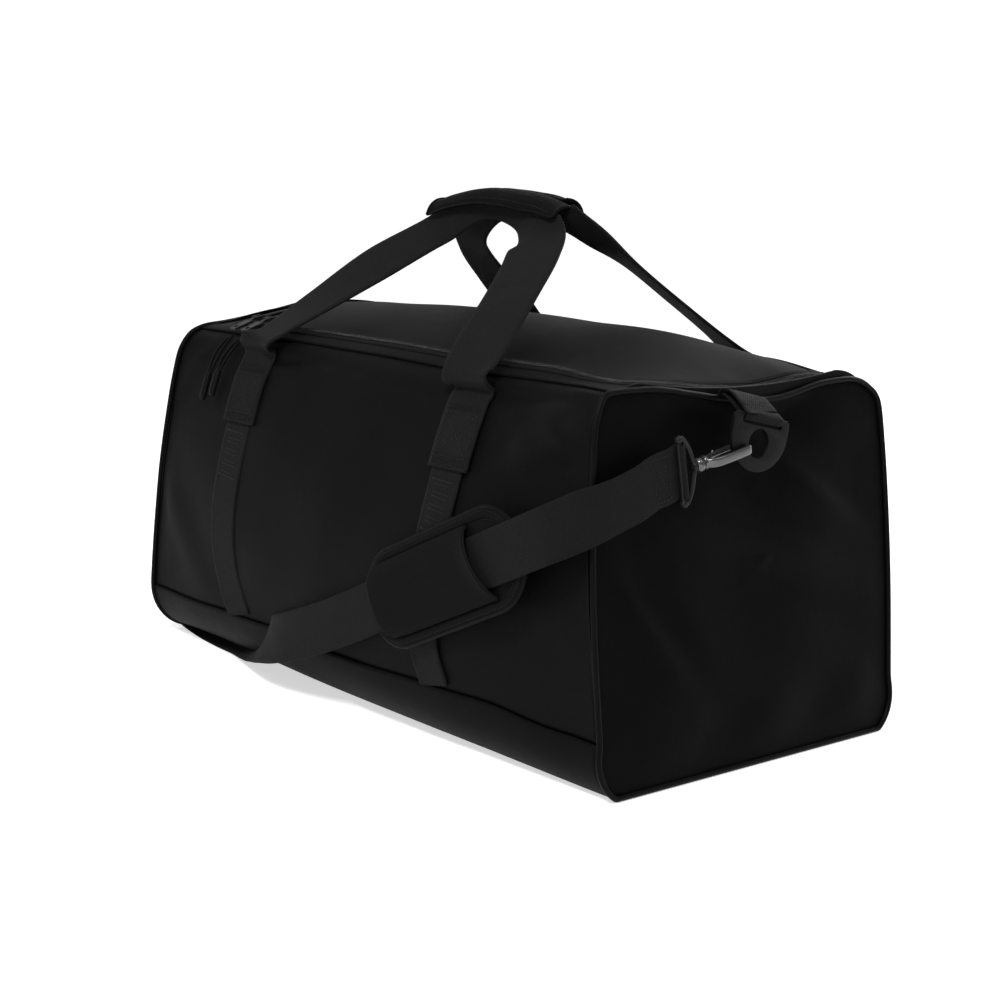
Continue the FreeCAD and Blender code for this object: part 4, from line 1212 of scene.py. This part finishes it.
def pull_cords():
    """Doubled cords from the slider tabs, each twisted and joined in a moulded tip."""
    for name, route in PULLS.items():
        path = route_line(route, 110)
        tang = tangents(path)
        across = unit(np.cross(tang, (0.0, -1, 0.3)))
        out = np.cross(across, tang)
        along = lengths(path)
        share = along / along[-1]
        spread = 1.9 * np.sin(np.clip(share / 0.62, 0, 1) * math.pi) ** 0.7 + 0.9
        b = Builder()
        for side in (-1, 1):
            for strand in range(3):
                phase = along / 4.4 * 2 * np.pi * side + strand * 2 * np.pi / 3
                sideways = np.cos(phase) * 0.52 + side * spread
                wobble = across * sideways[:, None] + out * (np.sin(phase) * 0.52)[:, None]
                b.tube(path + wobble, 0.66, 6)
        loop = b.put("pull_cord_loop_" + name, RUBBER, "cord_" + name, "pull_rubber",
                     "pull_cord_" + name)
        b = Builder()
        i = np.where(share > 0.6)[0]
        t = np.linspace(0, 1, len(i))
        barrel = np.clip(1 - np.abs((t - 0.5) / 0.515) ** 7, 0.02, 1)
        swell = 2.5 * np.sqrt(barrel) * (1 + 0.12 * t)
        swell = swell * (1 + 0.05 * np.sin(t * 34))
        b.tube(path[i], swell, 14, squash=1.2, up=(0, -1, 0.4))
        tip = b.put("pull_tip_" + name, RUBBER, "cord_" + name, "pull_rubber")


# End hardware
def plate_mesh(name, outline_pts, holes, thick, place, material, bevel=0.55):
    """Flat plate with holes, as a filled curve with rounded edges."""
    curve = bpy.data.curves.new(name, "CURVE")
    curve.dimensions = "2D"
    curve.fill_mode = "BOTH"
    curve.extrude = (thick / 2 - bevel) * MM
    curve.bevel_depth = bevel * MM
    curve.bevel_resolution = 3
    curve.offset = -bevel * MM
    for loop in [outline_pts] + holes:
        sp = curve.splines.new("POLY")
        sp.points.add(len(loop) - 1)
        for k, (a, b) in enumerate(loop):
            sp.points[k].co = (a * MM, b * MM, 0, 1)
        sp.use_cyclic_u = True
    obj = link(name, curve)
    mesh = bpy.data.meshes.new_from_object(obj)
    bpy.data.objects.remove(obj)
    co = np.zeros(len(mesh.vertices) * 3)
    mesh.vertices.foreach_get("co", co)
    p = co.reshape(-1, 3) / MM
    origin, ax, ay, az = place
    q = origin + p[:, :1] * ax + p[:, 1:2] * ay + p[:, 2:] * az
    mesh.vertices.foreach_set("co", (q * MM).ravel())
    mesh.materials.clear()
    mesh.materials.append(material)
    mesh.polygons.foreach_set("use_smooth", [True] * len(mesh.polygons))
    mesh.update()
    out = link(name, mesh)
    bpy.context.view_layer.objects.active = out
    weld = out.modifiers.new("weld", "WELD")
    weld.merge_threshold = 0.01 * MM
    edge = out.modifiers.new("edges", "EDGE_SPLIT")
    edge.split_angle = math.radians(45)
    return bake(out)


def fillet(corners, radius, steps=7):
    """Rounds the corners of a polygon."""
    pts = []
    c = np.asarray(corners, float)
    for k in range(len(c)):
        a, b, d = c[k - 1], c[k], c[(k + 1) % len(c)]
        u, v = (a - b) / np.linalg.norm(a - b), (d - b) / np.linalg.norm(d - b)
        r = min(radius, np.linalg.norm(a - b) * 0.45, np.linalg.norm(d - b) * 0.45)
        for t in np.linspace(0, 1, steps):
            pts.append((1 - t) ** 2 * (b + u * r) + 2 * t * (1 - t) * b + t**2 * (b + v * r))
    return [tuple(p) for p in pts]


def circle(cx, cy, r, n=40):
    turn = 2 * math.pi / n
    return [(cx + r * math.cos(k * turn), cy + r * math.sin(k * turn)) for k in range(n)]


def ring_plate(name, bar, up, across):
    """Half-round plate with a slot for the webbing and a hole for the hook."""
    low = [(29.5 * math.cos(t), -12 + 26 * math.sin(t)) for t in np.linspace(-math.pi, 0, 40)]
    shape = [(-26.0, 1.4), (-28.6, -0.4), (-29.5, -4.5)] + low
    shape += [(29.5, -4.5), (28.6, -0.4), (26.0, 1.4)]
    slot = fillet([(-21, -5.5), (21, -5.5), (21, -1.6), (-21, -1.6)], 1.6)
    plate = plate_mesh("ring_plate_" + name, shape, [slot, circle(0, -18, 10.4)], 3.0,
                       (bar, across, up, np.cross(across, up)), PLATE)
    settle(plate, "dring_" + name, "black_metal", "dring_" + name)


def snap_hook(name, at, nose, pull, third):
    """Flat spine, rounded nose through the plate, and swivel barrel."""
    b = Builder()
    spine = [at(6.2, 0.5), at(2.5, -0.4), at(-4, -0.3), at(-8.2, 1.2), at(-8.9, 7), at(-8.6, 22),
             at(-7.2, 33), at(-3.5, 37.5), at(0, 38.2)]
    path = spline(spline(spine, 60), 70)
    flat = np.cross(tangents(path), np.broadcast_to(third, path.shape))
    ang = np.linspace(0, 2 * np.pi, 20, endpoint=False)
    cos, sin = (np.sign(v) * np.abs(v) ** 0.55 for v in (np.cos(ang), np.sin(ang)))
    ring = path[:, None] + third * (3.3 * cos)[None, :, None]
    ring = ring + flat[:, None] * (1.9 * sin)[None, :, None]
    b.add(ring, grid_faces(70, 20, close=True) + cap_faces(70, 20))
    barrel_z = np.array([35.5, 36.3, 37.5, 39.0, 39.4, 40.6, 41.0, 45.0, 46.2, 47.0])
    barrel_r = [2.0, 4.3, 5.1, 5.1, 4.3, 4.3, 5.1, 5.1, 4.3, 2.4]
    b.tube(nose + pull * barrel_z[:, None], barrel_r, 22, up=tuple(third))
    b.put("hook_body_" + name, NICKEL, "hook_" + name, "black_metal", "snap_hook_" + name)


def hook_gate(name, at, inn, third):
    """Thin sprung finger with a thumb stud."""
    b = Builder()
    gate = spline([at(6.4, 2.2), at(7.0, 8), at(6.6, 20), at(5.0, 31), at(3.6, 35.5)], 34)
    b.tube(gate, np.concatenate([[1.2], np.full(32, 1.75), [1.3]]), 12, squash=1.3, up=tuple(inn))
    b.tube(gate[20] + third * np.linspace(-3.6, 3.6, 8)[:, None],
           [0.6, 1.2, 1.35, 1.35, 1.35, 1.35, 1.2, 0.6], 10)
    b.put("gate_finger_" + name, NICKEL, "gate_" + name, "black_metal", "hook_gate_" + name)


def strap_eye(name, nose, pull, wide):
    """Bar with a knob at each end and two arms to the swivel."""
    b = Builder()
    end = nose + pull * 61
    b.tube(end + wide * np.linspace(-22.5, 22.5, 12)[:, None], 1.9, 12)
    knob = np.linspace(-1, 1, 11)
    for s in (-1, 1):
        arm = [end + wide * 22.6 * s]
        arm += [end + wide * w * s - pull * back
                for w, back in ((22.4, 3.2), (15.5, 8.2), (5.2, 11.8), (1.6, 13.6))]
        b.tube(spline(arm, 40), np.linspace(2.1, 1.8, 40), 12)
        ball = 3.0 * np.sqrt(np.clip(1 - knob**2, 0.03, 1))
        b.tube(end + wide * s * (22.6 + knob[:, None] * 2.9), ball, 14)
    b.tube(nose + pull * np.array([46.4, 47.0, 47.6, 49.2, 49.9, 50.2])[:, None],
           [2.2, 3.2, 3.5, 3.5, 2.6, 1.2], 18, up=tuple(wide))
    b.put("strap_eye_" + name, METAL, "bag", "black_metal", "strap_bar_" + name)


def ring_tab(name, side, bar, up, across, out):
    """Webbing tab that carries the ring."""
    if side > 0:
        back_x, rise = (249.5, 253.2, 259.5, 267.5, 273.5), (261.0, 264.8, 264.0, 258.8, 253.6)
    else:
        back_x, rise = (-246.0, -250.5, -257.5, -266.5, -273.0), (272.0, 277.5, 273.0, 262.5, 254.6)
    line = [np.array([x, bar[1], z]) for x, z in zip(back_x, rise)]
    sewn_at = line[3]
    line += turn_round(bar, out, up, 3.0, (60, 20, -20, -60, -100, -140))
    line += [bar + np.array([-side * dx, 0, dz])
             for dx, dz in ((5.0, 0.5), (11.0, 5.5), (17.0, 9.5), (22.5, 12.0))]
    route = [(p, across, 19.5) for p in line]
    obj, (c, w, n, _) = band("ring_tab_" + name, route, STRAP_T, spacing=1.1)
    settle(obj, "bag", "webbing", "dring_tab_" + name)
    b = Builder()
    k = int(np.argmin(np.linalg.norm(c - sewn_at, axis=1)))
    top_n = n[k] * (1 if n[k][0] * side + n[k][2] > 0 else -1)
    for shift in (-1.2, 1.2):
        row = c[k] + (c[k + 1] - c[k]) * shift + w[k] * np.linspace(-16.5, 16.5, 30)[:, None]
        row = row + top_n * 0.85
        b.stitches(row, 2.2, 0.9, 0.26, up=tuple(top_n))
    b.put("ring_tab_stitching_" + name, THREAD, "bag", "webbing")


def end_hardware():
    for name, side in (("right", 1), ("left", -1)):
        nose, pull, inn, third, bar, up, across = hook_frame(side)

        def at(inwards, along):
            return nose + inn * inwards + pull * along

        ring_plate(name, bar, up, across)
        snap_hook(name, at, nose, pull, third)
        hook_gate(name, at, inn, third)
        strap_eye(name, nose, pull, third)
        ring_tab(name, side, bar, up, across, -inn)


# CAD pieces that only take a finish
def bare_hardware():
    """The adjuster, sliders, pull tabs and seam bindings already have the right shape."""
    finishes = {
        "strap_adjuster": METAL, "slider_a": METAL, "slider_b": METAL,
        "pull_tab_a": METAL, "pull_tab_b": METAL,
        "seam_binding_right": PIPING, "seam_binding_left": PIPING,
    }
    for node, material in finishes.items():
        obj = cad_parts[node]
        obj.data.materials.clear()
        obj.data.materials.append(material)


# Stage
def stage():
    m = bpy.data.materials.new("floor_paint")
    far = 9000.0
    corners = [(-far, -far, 0), (far, -far, 0), (far, far, 0), (-far, far, 0)]
    floor = add_mesh("floor", corners, [(0, 1, 2, 3)], m, smooth=False)
    m.use_nodes = True
    b = m.node_tree.nodes["Principled BSDF"]
    set_inputs(b, {"Base Color": (0.75, 0.75, 0.75, 1), "Emission Color": (1, 1, 1, 1),
                   "Emission Strength": 0.6, "Roughness": 0.9, "Specular IOR Level": 0.1})
    world = bpy.data.worlds.new("world")
    bpy.context.scene.world = world
    world.use_nodes = True
    back = world.node_tree.nodes["Background"]
    back.inputs["Color"].default_value = (1, 1, 1, 1)
    tree = world.node_tree
    x, y, z = split(tree, coordinates(tree, "Generated"))
    # light grows away from the camera, and the horizon is a plain white band
    behind = math_node(tree, "MULTIPLY", y, 0.67)
    away = math_node(tree, "SUBTRACT", behind, math_node(tree, "MULTIPLY", x, 0.742))
    away = math_node(tree, "ADD", math_node(tree, "MULTIPLY", away, 1.6), 0.15, clamp=True)
    strength = math_node(tree, "ADD", math_node(tree, "MULTIPLY", away, 0.5), 0.34)
    band = math_node(tree, "SUBTRACT", 2.0, math_node(tree, "MULTIPLY", z, 10.0), clamp=True)
    band = math_node(tree, "MULTIPLY", band, 1.04)
    tree.links.new(math_node(tree, "MAXIMUM", strength, band), back.inputs["Strength"])

    def area(name, at, aim, size, power):
        data = bpy.data.lights.new(name, "AREA")
        data.shape = "RECTANGLE"
        data.size, data.size_y = size
        data.energy = power
        obj = link(name, data)
        obj.location = at
        obj.rotation_euler = (Vector(aim) - Vector(at)).to_track_quat("-Z", "Y").to_euler()

    area("key", (0.9, -1.7, 2.2), (0, 0, 0.15), (0.8, 0.6), 74)
    area("rim", (-0.3, 2.4, 1.1), (0, 0, 0.2), (1.2, 1.2), 26)
    area("top", (1.2, 0.3, 2.3), (0, 0, 0.2), (1.4, 1.4), 14)
    scene = bpy.context.scene
    scene.view_settings.view_transform = "Standard"
    scene.view_settings.look = "None"


make_camera()
body_skins()
end_panels()
top_frame()
lid_skin()
zipper()
base_webbing()
carry_handles()
grip_wrap()
shoulder_strap()
pad_cushion()
pad_sleeve()
pull_cords()
end_hardware()
bare_hardware()
stage()
